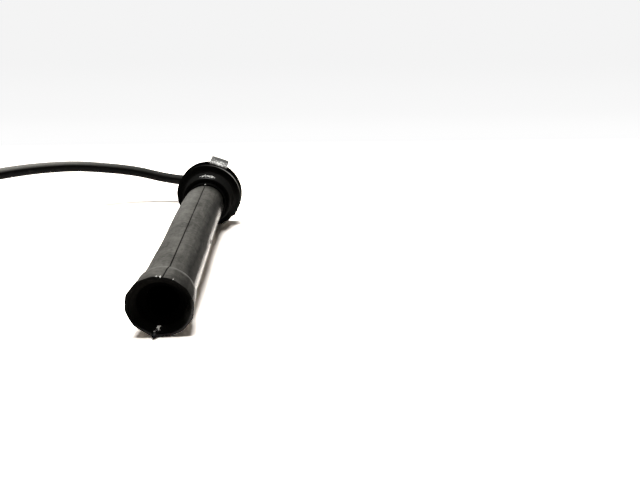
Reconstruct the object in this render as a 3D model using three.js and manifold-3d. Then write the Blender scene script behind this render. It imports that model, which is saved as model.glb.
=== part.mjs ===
// A spark plug lead: a long rubber plug boot in a well cap, a 7 mm cable wound into a neat
// coil, and a short boot for the ignition coil's end. Millimetres, +Z up, mouth toward -Y.
// The origin is on the floor, under the middle of the plug boot and its cap.

import * as THREE from 'three';
import { mergeVertices } from 'three/addons/utils/BufferGeometryUtils.js';
import Module from 'manifold-3d';

const wasm = await Module();
wasm.setup();

// Clearances
const FIT_GAP = 0.3;
const TERMINAL_ROOM = 0.4;

// Cutters run past the faces that they open
const OVERRUN = 1;

// Cable
const CABLE_RADIUS = 3.5;
const CABLE_BORE = CABLE_RADIUS + FIT_GAP;

// Snap-on terminal, the same at both ends
const SOCKET_BORE = 3.25;
const SOCKET_WALL = 0.45;
const SOCKET_LENGTH = 10.5;
const TERMINAL_WEB = 0.8;
const BARREL_WALL = 0.5;
const BARREL_LENGTH = 11;
const SLOT_COUNT = 4;
const SLOT_WIDTH = 0.8;
const SLOT_LENGTH = 7.5;
const SEAM_WIDTH = 0.5;
const RING_WIRE_RADIUS = 0.35;
const RING_PLACE = 4.5;
const RING_ARC = 300;
const RING_START = 120;
const RING_STEP = 20;
const SOCKET_OUTER = SOCKET_BORE + SOCKET_WALL;
const BARREL_OUTER = CABLE_BORE + BARREL_WALL;
const RING_TURN_RADIUS = SOCKET_OUTER + FIT_GAP + RING_WIRE_RADIUS;
const TERMINAL_LENGTH = SOCKET_LENGTH + TERMINAL_WEB + BARREL_LENGTH;
const CHAMBER_RADIUS = Math.max(RING_TURN_RADIUS + RING_WIRE_RADIUS, BARREL_OUTER) + TERMINAL_ROOM;

// Plug boot, along its axis from the flange's front face (y = 0) to the mouth
const BOOT_LENGTH = 136.2;
const TUBE_RADIUS = 10.45;
const LIP_SIDES = 12;
const LIP_LENGTH = 10.9;
const LIP_HALF_WIDTH = 12.6;
const LIP_BACK_HALF_WIDTH = 11.1;
const LIP_CORNER_ROUNDING = 0.12;
const LIP_STEP_LENGTH = 0.7;
const LIP_EDGE = 0.45;
const RIM_WIDTH = 1.45;
const FUNNEL_LENGTH = 5.2;
const FUNNEL_STEP_RADIUS = 8.7;
const FUNNEL_STEP_DEPTH = 2.6;
const FUNNEL_RIB = 0.35;
const INSULATOR_BORE = 6.2;
const PLUG_DEPTH = 37;
const BOOT_SEAT = 4;
const BEAD_HEIGHT = 1.1;
const BEAD_LENGTH = 2.2;
const BEAD_INSET = 1.4;

// Well cap
const SLEEVE_WALL = 0.6;
const SLEEVE_REACH = 14.5;
const RECESS_WIDTH = 0.7;
const RECESS_DEPTH = 2;
const COLLAR_REACH = 10.4;
const COLLAR_FRONT_RADIUS = 13.95;
const COLLAR_BACK_RADIUS = 14.8;
const COLLAR_EDGE = 0.8;
const FRONT_RIM_RADIUS = 19.1;
const FRONT_RIM_WIDTH = 3.2;
const GROOVE_RADIUS = 17.2;
const GROOVE_WIDTH = 3.2;
const BACK_RIM_RADIUS = 19.3;
const BACK_RIM_WIDTH = 3.2;
const RIM_EDGE = 0.45;
const NECK_BASE_RADIUS = 9;
const NECK_WALL = 2.2;
const NECK_LENGTH = 10.4;
const NECK_END = FRONT_RIM_WIDTH + GROOVE_WIDTH + BACK_RIM_WIDTH + NECK_LENGTH;

// Pull tab on the cap, turned clockwise from the top as seen from the mouth
const TAB_TURN = 19.5;
const TAB_WIDTH = 10.4;
const TAB_FRONT = 3.6;
const TAB_RUN = 7;
const TAB_RISE = 2.6;
const TAB_THICKNESS = 2;
const TAB_BEAD = 1.1;

// Ignition coil boot, along its axis from its mouth (y = 0) to its neck
const COIL_BOOT_LENGTH = 44;
const COIL_BOOT_MOUTH_RADIUS = 9.6;
const COIL_BOOT_MOUTH_LENGTH = 9;
const COIL_BOOT_BODY_RADIUS = 8.5;
const COIL_BOOT_BODY_LENGTH = 30;
const COIL_BOOT_NECK_WALL = 1.9;
const TOWER_BORE = 6.6;
const TOWER_DEPTH = 16;
const COIL_BOOT_EDGE = 0.6;

// Free cable, read off the photo by eye: x and y from the cap's neck, z above the floor
const CABLE_ROUTE = [
  [-0.3, 8.0, 20.2], [-3.5, 19.0, 19.3], [-10.5, 29.5, 17.4], [-22.0, 37.2, 16.1],
  [-39.9, 42.0, 17.8], [-58.9, 41.9, 22.4], [-77.6, 37.2, 26.1], [-94.7, 28.6, 29.2],
  [-109.4, 16.1, 30.9], [-122.5, 1.5, 31.6], [-135.2, -13.4, 30.9], [-145.2, -25.2, 28.6],
  [-155.0, -37.2, 25.0], [-164.4, -49.0, 21.0], [-174.1, -59.2, 17.3],
];
const COIL_CENTRE = [-154.8, -90.9];
const COIL_TURN_RADIUS = 35;
const COIL_HEIGHT = 15.6;
const TAIL_RUN = 28;
const TAIL_ROUTE = [[0, 5.0], [-8, 5.6]];
const TAIL_LEAD = [12, 6];

// Tie round the coil
const TIE_PLACE = 172;
const TIE_WIDTH = 5;
const TIE_THICKNESS = 1.2;
const TIE_HEAD_HEIGHT = 6;
const TIE_HEAD_DEPTH = 3;

// Fineness
const ROUND_SIDES = 48;
const SMALL_SIDES = 32;
const CABLE_SIDES = 12;
const RING_SIDES = 8;
const CABLE_STEP = 4.4 * CABLE_RADIUS;
const FILLET_STEPS = 2;
const LARGEST_FILLET_SHARE = 0.49;
const MERGE_DISTANCE = 1e-4;
const LEAST_CABLE_STEPS = 4;

/** Rounds the corner b between a and c: points on the arc that touches both sides. */
function filletPoints(a, b, c, radius) {
  const toA = a.clone().sub(b);
  const toC = c.clone().sub(b);
  const shorter = Math.min(toA.length(), toC.length());
  const halfAngle = toA.clone().normalize().angleTo(toC.clone().normalize()) / 2;
  const reach = Math.min(radius / Math.tan(halfAngle), shorter * LARGEST_FILLET_SHARE);
  const used = reach * Math.tan(halfAngle);
  const start = b.clone().add(toA.setLength(reach));
  const end = b.clone().add(toC.setLength(reach));
  const middle = start.clone().add(end).multiplyScalar(0.5);
  const centre = b.clone().add(middle.sub(b).setLength(used / Math.sin(halfAngle)));
  const points = [];
  for (let i = 0; i <= FILLET_STEPS; i += 1) {
    const chord = start.clone().lerp(end, i / FILLET_STEPS);
    points.push(centre.clone().add(chord.sub(centre).setLength(used)));
  }
  return points;
}

/** A closed outline from corners [across, along, fillet], with round fillets where given. */
function roundedOutline(corners) {
  const points = [];
  corners.forEach(([x, y, radius = 0], i) => {
    const corner = new THREE.Vector2(x, y);
    if (radius === 0) {
      points.push(corner);
      return;
    }
    const [ax, ay] = corners[(i + corners.length - 1) % corners.length];
    const [cx, cy] = corners[(i + 1) % corners.length];
    const before = new THREE.Vector2(ax, ay);
    const after = new THREE.Vector2(cx, cy);
    points.push(...filletPoints(before, corner, after, radius));
  });
  return points;
}

/** A geometry as a solid that can be joined and cut. */
function toSolid(geometry) {
  const bare = geometry.clone();
  bare.deleteAttribute('normal');
  bare.deleteAttribute('uv');
  const merged = mergeVertices(bare, MERGE_DISTANCE);
  return new wasm.Manifold(new wasm.Mesh({
    numProp: 3,
    vertProperties: new Float32Array(merged.attributes.position.array),
    triVerts: new Uint32Array(merged.index.array),
  }));
}

/** A solid as a geometry with flat faces. */
function toGeometry(solid) {
  const mesh = solid.getMesh();
  const geometry = new THREE.BufferGeometry();
  const positions = new THREE.BufferAttribute(new Float32Array(mesh.vertProperties), 3);
  const triangles = new THREE.BufferAttribute(new Uint32Array(mesh.triVerts), 1);
  geometry.setAttribute('position', positions);
  geometry.setIndex(triangles);
  geometry.computeVertexNormals();
  return geometry;
}

/** A closed outline of [radius, along, fillet] corners turned round the Y axis. */
function turned(corners, sides = ROUND_SIDES, start = 0) {
  const points = roundedOutline(corners);
  points.push(points[0].clone());
  return toSolid(new THREE.LatheGeometry(points, sides, start, 2 * Math.PI));
}

/** A rectangular block between two corners. */
function block(low, high) {
  const size = high.map((value, i) => value - low[i]);
  const geometry = new THREE.BoxGeometry(...size);
  geometry.translate(...high.map((value, i) => (value + low[i]) / 2));
  return geometry;
}

/** A round section carried along a path of points. */
function swept(points, radius, sides, steps) {
  const path = new THREE.CatmullRomCurve3(points, false, 'centripetal');
  const section = new THREE.Shape();
  for (let i = 0; i < sides; i += 1) {
    const angle = (2 * Math.PI * i) / sides;
    const x = radius * Math.cos(angle);
    const y = radius * Math.sin(angle);
    if (i === 0) section.moveTo(x, y);
    else section.lineTo(x, y);
  }
  const settings = { steps, bevelEnabled: false, extrudePath: path };
  return toSolid(new THREE.ExtrudeGeometry(section, settings));
}

/** A named mesh with its own material. */
function piece(name, solid, { color, roughness, metalness = 0 }) {
  const mesh = new THREE.Mesh(
    toGeometry(solid),
    new THREE.MeshStandardMaterial({ color, roughness, metalness }),
  );
  mesh.name = name;
  return mesh;
}

const SATIN_RUBBER = { color: 0x2c2b29, roughness: 0.48 };
const CAP_RUBBER = { color: 0x0f0f10, roughness: 0.34 };
const CABLE_JACKET = { color: 0x1a1a1a, roughness: 0.42 };
const PLATED_STEEL = { color: 0xb8b6ae, roughness: 0.3, metalness: 1 };
const SPRING_STEEL = { color: 0x8b8a86, roughness: 0.35, metalness: 1 };
const TIE_NYLON = { color: 0x161616, roughness: 0.5 };

/** The stepped bore behind a mouth, as corners from the neck's end back toward the mouth. */
function boreCorners(neckEnd, terminalFront, mouthBore) {
  const chamberEnd = terminalFront + TERMINAL_LENGTH + TERMINAL_ROOM;
  const shoulder = Math.abs(mouthBore - CHAMBER_RADIUS);
  return [
    [CABLE_BORE, neckEnd],
    [CABLE_BORE, chamberEnd],
    [CHAMBER_RADIUS, chamberEnd],
    [CHAMBER_RADIUS, terminalFront - TERMINAL_ROOM],
    [mouthBore, terminalFront - TERMINAL_ROOM - shoulder],
  ];
}

/** The funnel in the plug boot's mouth, from the bore out to the rim. */
function funnelCorners(mouth) {
  const rimInner = LIP_HALF_WIDTH - RIM_WIDTH;
  const ribDepth = (FUNNEL_STEP_DEPTH + LIP_EDGE) / 2;
  const ribRadius = (rimInner + FUNNEL_STEP_RADIUS) / 2;
  return [
    [INSULATOR_BORE, mouth + FUNNEL_LENGTH, 0.8],
    [FUNNEL_STEP_RADIUS, mouth + FUNNEL_STEP_DEPTH],
    [FUNNEL_STEP_RADIUS + FUNNEL_RIB, mouth + FUNNEL_STEP_DEPTH - FUNNEL_RIB],
    [ribRadius, mouth + ribDepth],
    [ribRadius + FUNNEL_RIB, mouth + ribDepth - FUNNEL_RIB],
    [rimInner, mouth + LIP_EDGE],
    [rimInner + LIP_EDGE, mouth],
  ];
}

/** The long boot: a round moulding whose lip is trimmed to twelve flats. */
function makePlugBoot() {
  const mouth = -BOOT_LENGTH;
  const lipEnd = mouth + LIP_LENGTH;
  const cornerRatio = 1 / Math.cos(Math.PI / LIP_SIDES);
  const corner = LIP_HALF_WIDTH * cornerRatio - LIP_CORNER_ROUNDING;
  const backCorner = LIP_BACK_HALF_WIDTH * cornerRatio - LIP_CORNER_ROUNDING;
  const beadStart = BOOT_SEAT - BEAD_INSET - BEAD_LENGTH;
  const beadEnd = BOOT_SEAT - BEAD_INSET;
  const round = turned([
    ...boreCorners(BOOT_SEAT, mouth + PLUG_DEPTH, INSULATOR_BORE),
    ...funnelCorners(mouth),
    [corner, mouth, LIP_EDGE],
    [backCorner, lipEnd, LIP_EDGE],
    [TUBE_RADIUS, lipEnd + LIP_STEP_LENGTH],
    [TUBE_RADIUS, beadStart],
    [TUBE_RADIUS + BEAD_HEIGHT, beadStart, LIP_EDGE],
    [TUBE_RADIUS + BEAD_HEIGHT, beadEnd, LIP_EDGE],
    [TUBE_RADIUS, beadEnd],
    [TUBE_RADIUS, BOOT_SEAT],
  ]);
  const clear = 2 * LIP_HALF_WIDTH;
  const flats = turned([
    [0, mouth - OVERRUN],
    [LIP_HALF_WIDTH * cornerRatio, mouth - OVERRUN],
    [LIP_HALF_WIDTH * cornerRatio, mouth],
    [LIP_BACK_HALF_WIDTH * cornerRatio, lipEnd],
    [clear, lipEnd],
    [clear, BOOT_SEAT + OVERRUN],
    [0, BOOT_SEAT + OVERRUN],
  ], LIP_SIDES, Math.PI / LIP_SIDES);
  return round.intersect(flats);
}

/** The tongue on the cap's rim that is pulled to take the boot out of its well. */
function makePullTab() {
  const root = GROOVE_RADIUS - TAB_THICKNESS;
  const end = TAB_FRONT + TAB_RUN;
  const top = FRONT_RIM_RADIUS + FIT_GAP + TAB_RISE;
  const outline = roundedOutline([
    [TAB_FRONT, root],
    [NECK_END - NECK_LENGTH - RIM_EDGE, root],
    [NECK_END - NECK_LENGTH - RIM_EDGE, top - TAB_THICKNESS - TAB_RISE],
    [end + TAB_BEAD, top - TAB_BEAD * 2, TAB_BEAD],
    [end + TAB_BEAD, top + TAB_BEAD / 2, TAB_BEAD],
    [end - TAB_BEAD, top, TAB_BEAD / 2],
    [TAB_FRONT, FRONT_RIM_RADIUS + FIT_GAP],
  ]);
  const shape = new THREE.Shape(outline);
  const settings = { depth: TAB_WIDTH, bevelEnabled: false, steps: 1 };
  const geometry = new THREE.ExtrudeGeometry(shape, settings);
  geometry.translate(0, 0, -TAB_WIDTH / 2);
  const across = new THREE.Matrix4().makeBasis(
    new THREE.Vector3(0, 1, 0),
    new THREE.Vector3(0, 0, 1),
    new THREE.Vector3(1, 0, 0),
  );
  geometry.applyMatrix4(across);
  geometry.rotateY(THREE.MathUtils.degToRad(TAB_TURN));
  return toSolid(geometry);
}

/** The cap: front sleeve and collar, two rims with a groove between, pull tab and rear neck. */
function makeWellCap() {
  const seat = TUBE_RADIUS + FIT_GAP;
  const sleeve = seat + SLEEVE_WALL;
  const beadRoom = seat + BEAD_HEIGHT;
  const beadStart = BOOT_SEAT - BEAD_INSET - BEAD_LENGTH - FIT_GAP;
  const beadEnd = BOOT_SEAT - BEAD_INSET + FIT_GAP;
  const grooveStart = FRONT_RIM_WIDTH;
  const backStart = FRONT_RIM_WIDTH + GROOVE_WIDTH;
  const backEnd = backStart + BACK_RIM_WIDTH;
  const body = turned([
    [sleeve, -SLEEVE_REACH, SLEEVE_WALL / 3],
    [sleeve, -COLLAR_REACH + RECESS_DEPTH],
    [sleeve + RECESS_WIDTH, -COLLAR_REACH + RECESS_DEPTH],
    [sleeve + RECESS_WIDTH, -COLLAR_REACH, COLLAR_EDGE / 3],
    [COLLAR_FRONT_RADIUS, -COLLAR_REACH, COLLAR_EDGE],
    [COLLAR_BACK_RADIUS, 0, RIM_EDGE],
    [FRONT_RIM_RADIUS, 0, RIM_EDGE],
    [FRONT_RIM_RADIUS, grooveStart, RIM_EDGE],
    [GROOVE_RADIUS, grooveStart, RIM_EDGE],
    [GROOVE_RADIUS, backStart, RIM_EDGE],
    [BACK_RIM_RADIUS, backStart, RIM_EDGE],
    [BACK_RIM_RADIUS, backEnd, RIM_EDGE],
    [NECK_BASE_RADIUS, backEnd, RIM_EDGE],
    [CABLE_BORE + NECK_WALL, NECK_END, RIM_EDGE],
    [CABLE_BORE, NECK_END],
    [CABLE_BORE, BOOT_SEAT + FIT_GAP],
    [seat, BOOT_SEAT + FIT_GAP],
    [seat, beadEnd],
    [beadRoom, beadEnd],
    [beadRoom, beadStart],
    [seat, beadStart],
    [seat, -SLEEVE_REACH],
  ]);
  return body.add(makePullTab());
}

/** A stamped terminal: slotted socket in front (y = 0), web, and crimp barrel with its seam. */
function makeTerminal() {
  const barrelStart = SOCKET_LENGTH + TERMINAL_WEB;
  let terminal = turned([
    [0, SOCKET_LENGTH],
    [SOCKET_BORE, SOCKET_LENGTH],
    [SOCKET_BORE, 0],
    [SOCKET_OUTER, 0],
    [SOCKET_OUTER, SOCKET_LENGTH],
    [BARREL_OUTER, barrelStart],
    [BARREL_OUTER, TERMINAL_LENGTH],
    [CABLE_BORE, TERMINAL_LENGTH],
    [CABLE_BORE, barrelStart],
    [0, barrelStart],
  ], SMALL_SIDES);
  for (let i = 0; i < SLOT_COUNT; i += 1) {
    const slot = block(
      [-SLOT_WIDTH / 2, -OVERRUN, SOCKET_BORE / 2],
      [SLOT_WIDTH / 2, SLOT_LENGTH, SOCKET_OUTER + OVERRUN],
    );
    slot.rotateY((2 * Math.PI * (i + 0.5)) / SLOT_COUNT);
    terminal = terminal.subtract(toSolid(slot));
  }
  const seam = block(
    [-SEAM_WIDTH / 2, barrelStart + TERMINAL_WEB, CABLE_BORE / 2],
    [SEAM_WIDTH / 2, TERMINAL_LENGTH + OVERRUN, BARREL_OUTER + OVERRUN],
  );
  return terminal.subtract(toSolid(seam));
}

/** The open wire ring round a terminal's socket. */
function makeSnapRing() {
  const points = [];
  for (let angle = 0; angle <= RING_ARC; angle += RING_STEP) {
    const turn = THREE.MathUtils.degToRad(RING_START + angle);
    const across = RING_TURN_RADIUS * Math.sin(turn);
    const up = RING_TURN_RADIUS * Math.cos(turn);
    points.push(new THREE.Vector3(across, RING_PLACE, up));
  }
  return swept(points, RING_WIRE_RADIUS, RING_SIDES, points.length);
}

/** The short boot for the ignition coil's tower. */
function makeCoilBoot() {
  const neck = CABLE_BORE + COIL_BOOT_NECK_WALL;
  return turned([
    ...boreCorners(COIL_BOOT_LENGTH, TOWER_DEPTH, TOWER_BORE),
    [TOWER_BORE, 0, COIL_BOOT_EDGE],
    [COIL_BOOT_MOUTH_RADIUS, 0, COIL_BOOT_EDGE],
    [COIL_BOOT_MOUTH_RADIUS, COIL_BOOT_MOUTH_LENGTH, COIL_BOOT_EDGE],
    [COIL_BOOT_BODY_RADIUS, COIL_BOOT_MOUTH_LENGTH, COIL_BOOT_EDGE],
    [COIL_BOOT_BODY_RADIUS, COIL_BOOT_BODY_LENGTH, 2 * COIL_BOOT_EDGE],
    [neck, COIL_BOOT_BODY_LENGTH + COIL_BOOT_BODY_RADIUS - neck, 2 * COIL_BOOT_EDGE],
    [neck, COIL_BOOT_LENGTH, COIL_BOOT_EDGE],
  ], SMALL_SIDES + RING_SIDES);
}

/** Terminal and snap ring, placed in a boot with the socket's front at that depth. */
function terminalPair(prefix, depth) {
  const pair = new THREE.Group();
  pair.add(piece(`${prefix}_terminal`, makeTerminal(), PLATED_STEEL));
  pair.add(piece(`${prefix}_snap_ring`, makeSnapRing(), SPRING_STEEL));
  pair.position.y = depth;
  return pair;
}

/** Moves a group so that the box round it stands on z = 0 with its middle at x = y = 0. */
function standAtOrigin(assembly) {
  assembly.updateMatrixWorld(true);
  const box = new THREE.Box3().setFromObject(assembly, true);
  assembly.position.y -= (box.min.y + box.max.y) / 2;
  assembly.position.z -= box.min.z;
  assembly.updateMatrixWorld(true);
}

/** Boot, cap, terminal and the cable's end in them, lying on lip and rim. */
function makePlugEnd() {
  const end = new THREE.Group();
  const terminalFront = PLUG_DEPTH - BOOT_LENGTH;
  const cableStart = terminalFront + SOCKET_LENGTH + TERMINAL_WEB + FIT_GAP;
  const innerLength = NECK_END - cableStart;
  const inner = new THREE.CylinderGeometry(CABLE_RADIUS, CABLE_RADIUS, innerLength, 2 * CABLE_SIDES);
  inner.translate(0, (NECK_END + cableStart) / 2, 0);
  end.add(piece('plug_boot', makePlugBoot(), SATIN_RUBBER));
  end.add(piece('well_cap', makeWellCap(), CAP_RUBBER));
  end.add(piece('cable_in_boot', toSolid(inner), CABLE_JACKET));
  end.add(terminalPair('plug', terminalFront));
  end.rotation.x = Math.atan2(FRONT_RIM_RADIUS - LIP_HALF_WIDTH, BOOT_LENGTH);
  standAtOrigin(end);
  return end;
}

/** The coil's outer shape, or a cutter that keeps the usual gap round it. */
function coilRing(margin) {
  const inner = COIL_TURN_RADIUS - CABLE_RADIUS - margin;
  const outer = COIL_TURN_RADIUS + CABLE_RADIUS + margin;
  const ring = turned([
    [inner, -margin],
    [outer, -margin],
    [outer, COIL_HEIGHT + margin],
    [inner, COIL_HEIGHT + margin],
  ]);
  return ring.rotate([90, 0, 0]);
}

/** Turns and moves a solid made at +X of the coil to the tie's place. */
function atTie(geometry, centre) {
  geometry.rotateZ(THREE.MathUtils.degToRad(TIE_PLACE));
  geometry.translate(centre.x, centre.y, 0);
  return toSolid(geometry);
}

/** The tie: a flat strap round the stacked turns, with its head on the outside. */
function makeTie(centre) {
  const inner = COIL_TURN_RADIUS - CABLE_RADIUS - FIT_GAP;
  const outer = COIL_TURN_RADIUS + CABLE_RADIUS + FIT_GAP;
  const half = TIE_WIDTH / 2;
  const top = COIL_HEIGHT + FIT_GAP;
  const strap = atTie(block(
    [inner - TIE_THICKNESS, -half, 0],
    [outer + TIE_THICKNESS, half, top + TIE_THICKNESS],
  ), centre);
  const hole = atTie(block(
    [inner, -half - OVERRUN, TIE_THICKNESS],
    [outer, half + OVERRUN, top],
  ), centre);
  const head = atTie(block(
    [outer + TIE_THICKNESS / 2, -half - TIE_THICKNESS / 2, top - TIE_HEAD_HEIGHT],
    [outer + TIE_THICKNESS + TIE_HEAD_DEPTH, half + TIE_THICKNESS / 2, top],
  ), centre);
  return strap.add(head).subtract(hole);
}

/** The coil of cable, notched where the tie passes under it. */
function makeCoil(centre) {
  const reach = CABLE_RADIUS + OVERRUN;
  const notch = block(
    [COIL_TURN_RADIUS - reach, -TIE_WIDTH / 2 - FIT_GAP, -OVERRUN],
    [COIL_TURN_RADIUS + reach, TIE_WIDTH / 2 + FIT_GAP, TIE_THICKNESS + FIT_GAP],
  );
  return coilRing(0).translate([centre.x, centre.y, 0]).subtract(atTie(notch, centre));
}

/** The far boot with its terminal, lying on its mouth's rim and its body's shoulder. */
function makeCoilEnd(x, neckY) {
  const end = new THREE.Group();
  const tilt = Math.atan2(
    COIL_BOOT_MOUTH_RADIUS - COIL_BOOT_BODY_RADIUS,
    COIL_BOOT_BODY_LENGTH - COIL_BOOT_MOUTH_LENGTH,
  );
  end.add(piece('coil_boot', makeCoilBoot(), SATIN_RUBBER));
  end.add(terminalPair('coil', TOWER_DEPTH));
  end.rotation.x = -tilt;
  standAtOrigin(end);
  const neckPoint = end.localToWorld(new THREE.Vector3(0, COIL_BOOT_LENGTH, 0));
  end.position.x = x;
  end.position.y += neckY - neckPoint.y;
  end.updateMatrixWorld(true);
  return end;
}

/** A free stretch of cable along a route, cut back where it meets the coil. */
function freeCable(points, coilCutter) {
  const length = new THREE.CatmullRomCurve3(points, false, 'centripetal').getLength();
  const steps = Math.max(Math.round(length / CABLE_STEP), LEAST_CABLE_STEPS);
  return swept(points, CABLE_RADIUS, CABLE_SIDES, steps).subtract(coilCutter);
}

const group = new THREE.Group();
const plugEnd = makePlugEnd();
group.add(plugEnd);

const exit = plugEnd.localToWorld(new THREE.Vector3(0, NECK_END, 0));
const cableStart = plugEnd.localToWorld(new THREE.Vector3(0, NECK_END + FIT_GAP, 0));
const coilCentre = new THREE.Vector2(exit.x + COIL_CENTRE[0], exit.y + COIL_CENTRE[1]);
const coilCutter = coilRing(FIT_GAP).translate([coilCentre.x, coilCentre.y, 0]);
const route = CABLE_ROUTE.map(([x, y, z]) => new THREE.Vector3(exit.x + x, exit.y + y, z));
group.add(piece('cable', freeCable([cableStart, ...route], coilCutter), CABLE_JACKET));
group.add(piece('cable_coil', makeCoil(coilCentre), CABLE_JACKET));
group.add(piece('coil_tie', makeTie(coilCentre), TIE_NYLON));

const tailX = coilCentre.x - COIL_TURN_RADIUS;
const coilEnd = makeCoilEnd(tailX, coilCentre.y - TAIL_RUN);
group.add(coilEnd);
const tailCrimp = TOWER_DEPTH + SOCKET_LENGTH + TERMINAL_WEB + FIT_GAP;
const tailPlaces = [
  ...TAIL_LEAD.map((lead) => COIL_BOOT_LENGTH + lead),
  COIL_BOOT_LENGTH,
  (COIL_BOOT_LENGTH + tailCrimp) / 2,
  tailCrimp,
];
const tail = [
  ...TAIL_ROUTE.map(([y, z]) => new THREE.Vector3(tailX, coilCentre.y + y, z)),
  ...tailPlaces.map((along) => coilEnd.localToWorld(new THREE.Vector3(0, along, 0))),
];
group.add(piece('cable_tail', freeCable(tail, coilCutter), CABLE_JACKET));

export default group;
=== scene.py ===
"""Dresses a spark plug lead: long plug boot, well cap with a pull tab, 7 mm cable in a tied coil, coil boot.

Sizes are millimetres in a piece's own straight axes: y along a boot, z up, x across. A piece is put into
the row's frame, in metres, when its mesh is made. It keeps its own axes in the vector attribute "lay", and
its painted shade and painted light, its gloss, and its painted highlights and flecks in the vector attribute
"marks", and its finish reads both.
"""

import logging
from abc import ABC, abstractmethod
from dataclasses import dataclass, field
from enum import Enum
from typing import Callable, Sequence, Union

import bpy
import numpy as np
from mathutils import Matrix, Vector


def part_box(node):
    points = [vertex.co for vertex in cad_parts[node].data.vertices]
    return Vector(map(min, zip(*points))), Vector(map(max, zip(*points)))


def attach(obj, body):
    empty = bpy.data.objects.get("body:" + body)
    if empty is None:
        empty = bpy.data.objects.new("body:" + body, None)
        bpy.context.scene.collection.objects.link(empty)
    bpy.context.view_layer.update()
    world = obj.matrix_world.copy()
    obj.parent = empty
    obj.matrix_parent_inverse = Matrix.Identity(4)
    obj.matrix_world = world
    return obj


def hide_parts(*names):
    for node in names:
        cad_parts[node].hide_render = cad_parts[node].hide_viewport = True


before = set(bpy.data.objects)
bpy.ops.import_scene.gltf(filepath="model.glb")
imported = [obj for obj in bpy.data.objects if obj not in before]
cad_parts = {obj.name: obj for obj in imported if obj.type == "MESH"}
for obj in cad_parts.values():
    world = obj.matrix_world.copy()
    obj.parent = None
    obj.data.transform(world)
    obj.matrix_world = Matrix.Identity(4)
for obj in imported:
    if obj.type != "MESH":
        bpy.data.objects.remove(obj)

LOG = logging.getLogger("lead")
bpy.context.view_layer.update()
METRES = 0.001
IMAGE_WIDTH = 640
SENSOR_WIDTH = 36.0
CREASE_DEGREES = 40.0
CABLE_RADIUS = 3.5
FIT_GAP = 0.3
CABLE_BORE = CABLE_RADIUS + FIT_GAP
HALF_TURN = np.pi
TURN = 2.0 * np.pi

Array = np.ndarray
Corner = tuple[float, float, float]
Colour = tuple[float, float, float]
Stops = tuple[tuple[float, float], ...]


class Slot(str, Enum):
    """The record's material slots."""

    BOOT = "boot_rubber"
    CAP = "cap_rubber"
    JACKET = "cable_jacket"
    PLATED = "plated_steel"
    SPRING = "spring_steel"
    TIE = "tie_nylon"


class Kept(str, Enum):
    """The vector attributes that a finish reads."""

    LAY = "lay"
    MARKS = "marks"


# Shapes


def unit(vectors: Array) -> Array:
    """Vectors along the last axis divided by their length; one of no length stays as it is."""
    length = np.linalg.norm(vectors, axis=-1, keepdims=True)
    return vectors / np.where(length < 1e-9, 1.0, length)


def ease(value: Array, low: float, high: float) -> Array:
    """Zero up to low, one from high, and 3t^2 - 2t^3 between, t being the share of the way."""
    share = np.clip((value - low) / (high - low), 0.0, 1.0)
    return share * share * (3.0 - 2.0 * share)


def fall(value: Array, low: float, high: float) -> Array:
    """What ease leaves: one up to low, zero from high."""
    return 1.0 - ease(value, low, high)


def hill(value: Array, centre: float, width: float) -> Array:
    """A bell, e to the minus square of the distance from the centre in widths."""
    return np.exp(-(((value - centre) / width) ** 2))


def soft_min(first: Array, second: Array, width: float) -> Array:
    """The smaller of two, its crease rounded: lerp by h, less width times h(1 - h), h rising over the width."""
    share = np.clip(0.5 + 0.5 * (second - first) / width, 0.0, 1.0)
    return second + (first - second) * share - width * share * (1.0 - share)


def ripple(first: Array, second: Array, seed: float) -> Array:
    """A calm unevenness from -1 to 1: the mean of four sines of mixed directions, which the seed shifts."""
    waves = ((1.0, 0.35, 0.0), (-0.55, 1.13, 1.7), (1.71, -0.62, 3.9), (0.4, 2.07, 5.2))
    return sum(np.sin(a * first + b * second + c * seed + c) for a, b, c in waves) / len(waves)


def between_stops(value: Array, stops: Stops) -> Array:
    """What (place, number) stops give at some places, on straight lines between them."""
    return np.interp(value, *np.array(stops).T)


def run_along(line: Array) -> Array:
    """How far each point of a line lies along it: the running sum of the steps' lengths."""
    return np.concatenate([[0.0], np.cumsum(np.linalg.norm(np.diff(line, axis=0), axis=1))])


def closed_outline(corners: Sequence[Corner], spacing: float = 1.6, arc_points: int = 6) -> Array:
    """A closed outline whose corners are arcs that touch both sides.

    The arc's ends lie fillet / tan(half the corner's angle) from the corner, and its centre lies on the
    bisector; its points are the chord's points pushed out to the radius.

    Args:
        corners: (across, along, fillet) in order round the outline.
        spacing: the longest span left undivided.
        arc_points: points on each arc.

    Returns:
        The points, shape (n, 2).
    """
    place = np.array(corners, float)[:, :2]
    fillet = np.array(corners, float)[:, 2]
    to_last = np.roll(place, 1, axis=0) - place
    to_next = np.roll(place, -1, axis=0) - place
    shorter = np.minimum(np.linalg.norm(to_last, axis=1), np.linalg.norm(to_next, axis=1))
    to_last, to_next = unit(to_last), unit(to_next)
    half = np.arccos(np.clip((to_last * to_next).sum(1), -1.0, 1.0)) / 2.0
    reach = np.minimum(fillet / np.tan(half), 0.49 * shorter)
    radius = (reach * np.tan(half))[:, None, None]
    centre = (place + unit(to_last + to_next) * (reach / np.cos(half))[:, None])[:, None]
    start = (place + to_last * reach[:, None])[:, None]
    end = (place + to_next * reach[:, None])[:, None]
    share = np.linspace(0.0, 1.0, arc_points)[None, :, None]
    points = (centre + unit(start + (end - start) * share - centre) * radius).reshape(-1, 2)
    points = points[np.linalg.norm(np.roll(points, -1, axis=0) - points, axis=1) > 1e-3]
    ring = np.vstack([points, points[:1]])
    run = run_along(ring)
    even = np.arange(0.0, run[-1], spacing)
    nearest = np.abs(even[:, None] - run[None]).min(1)
    stops = np.unique(np.concatenate([run[:-1], even[nearest > 0.25 * spacing]]))
    return np.stack([np.interp(stops, run, side) for side in ring.T], -1)


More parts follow.
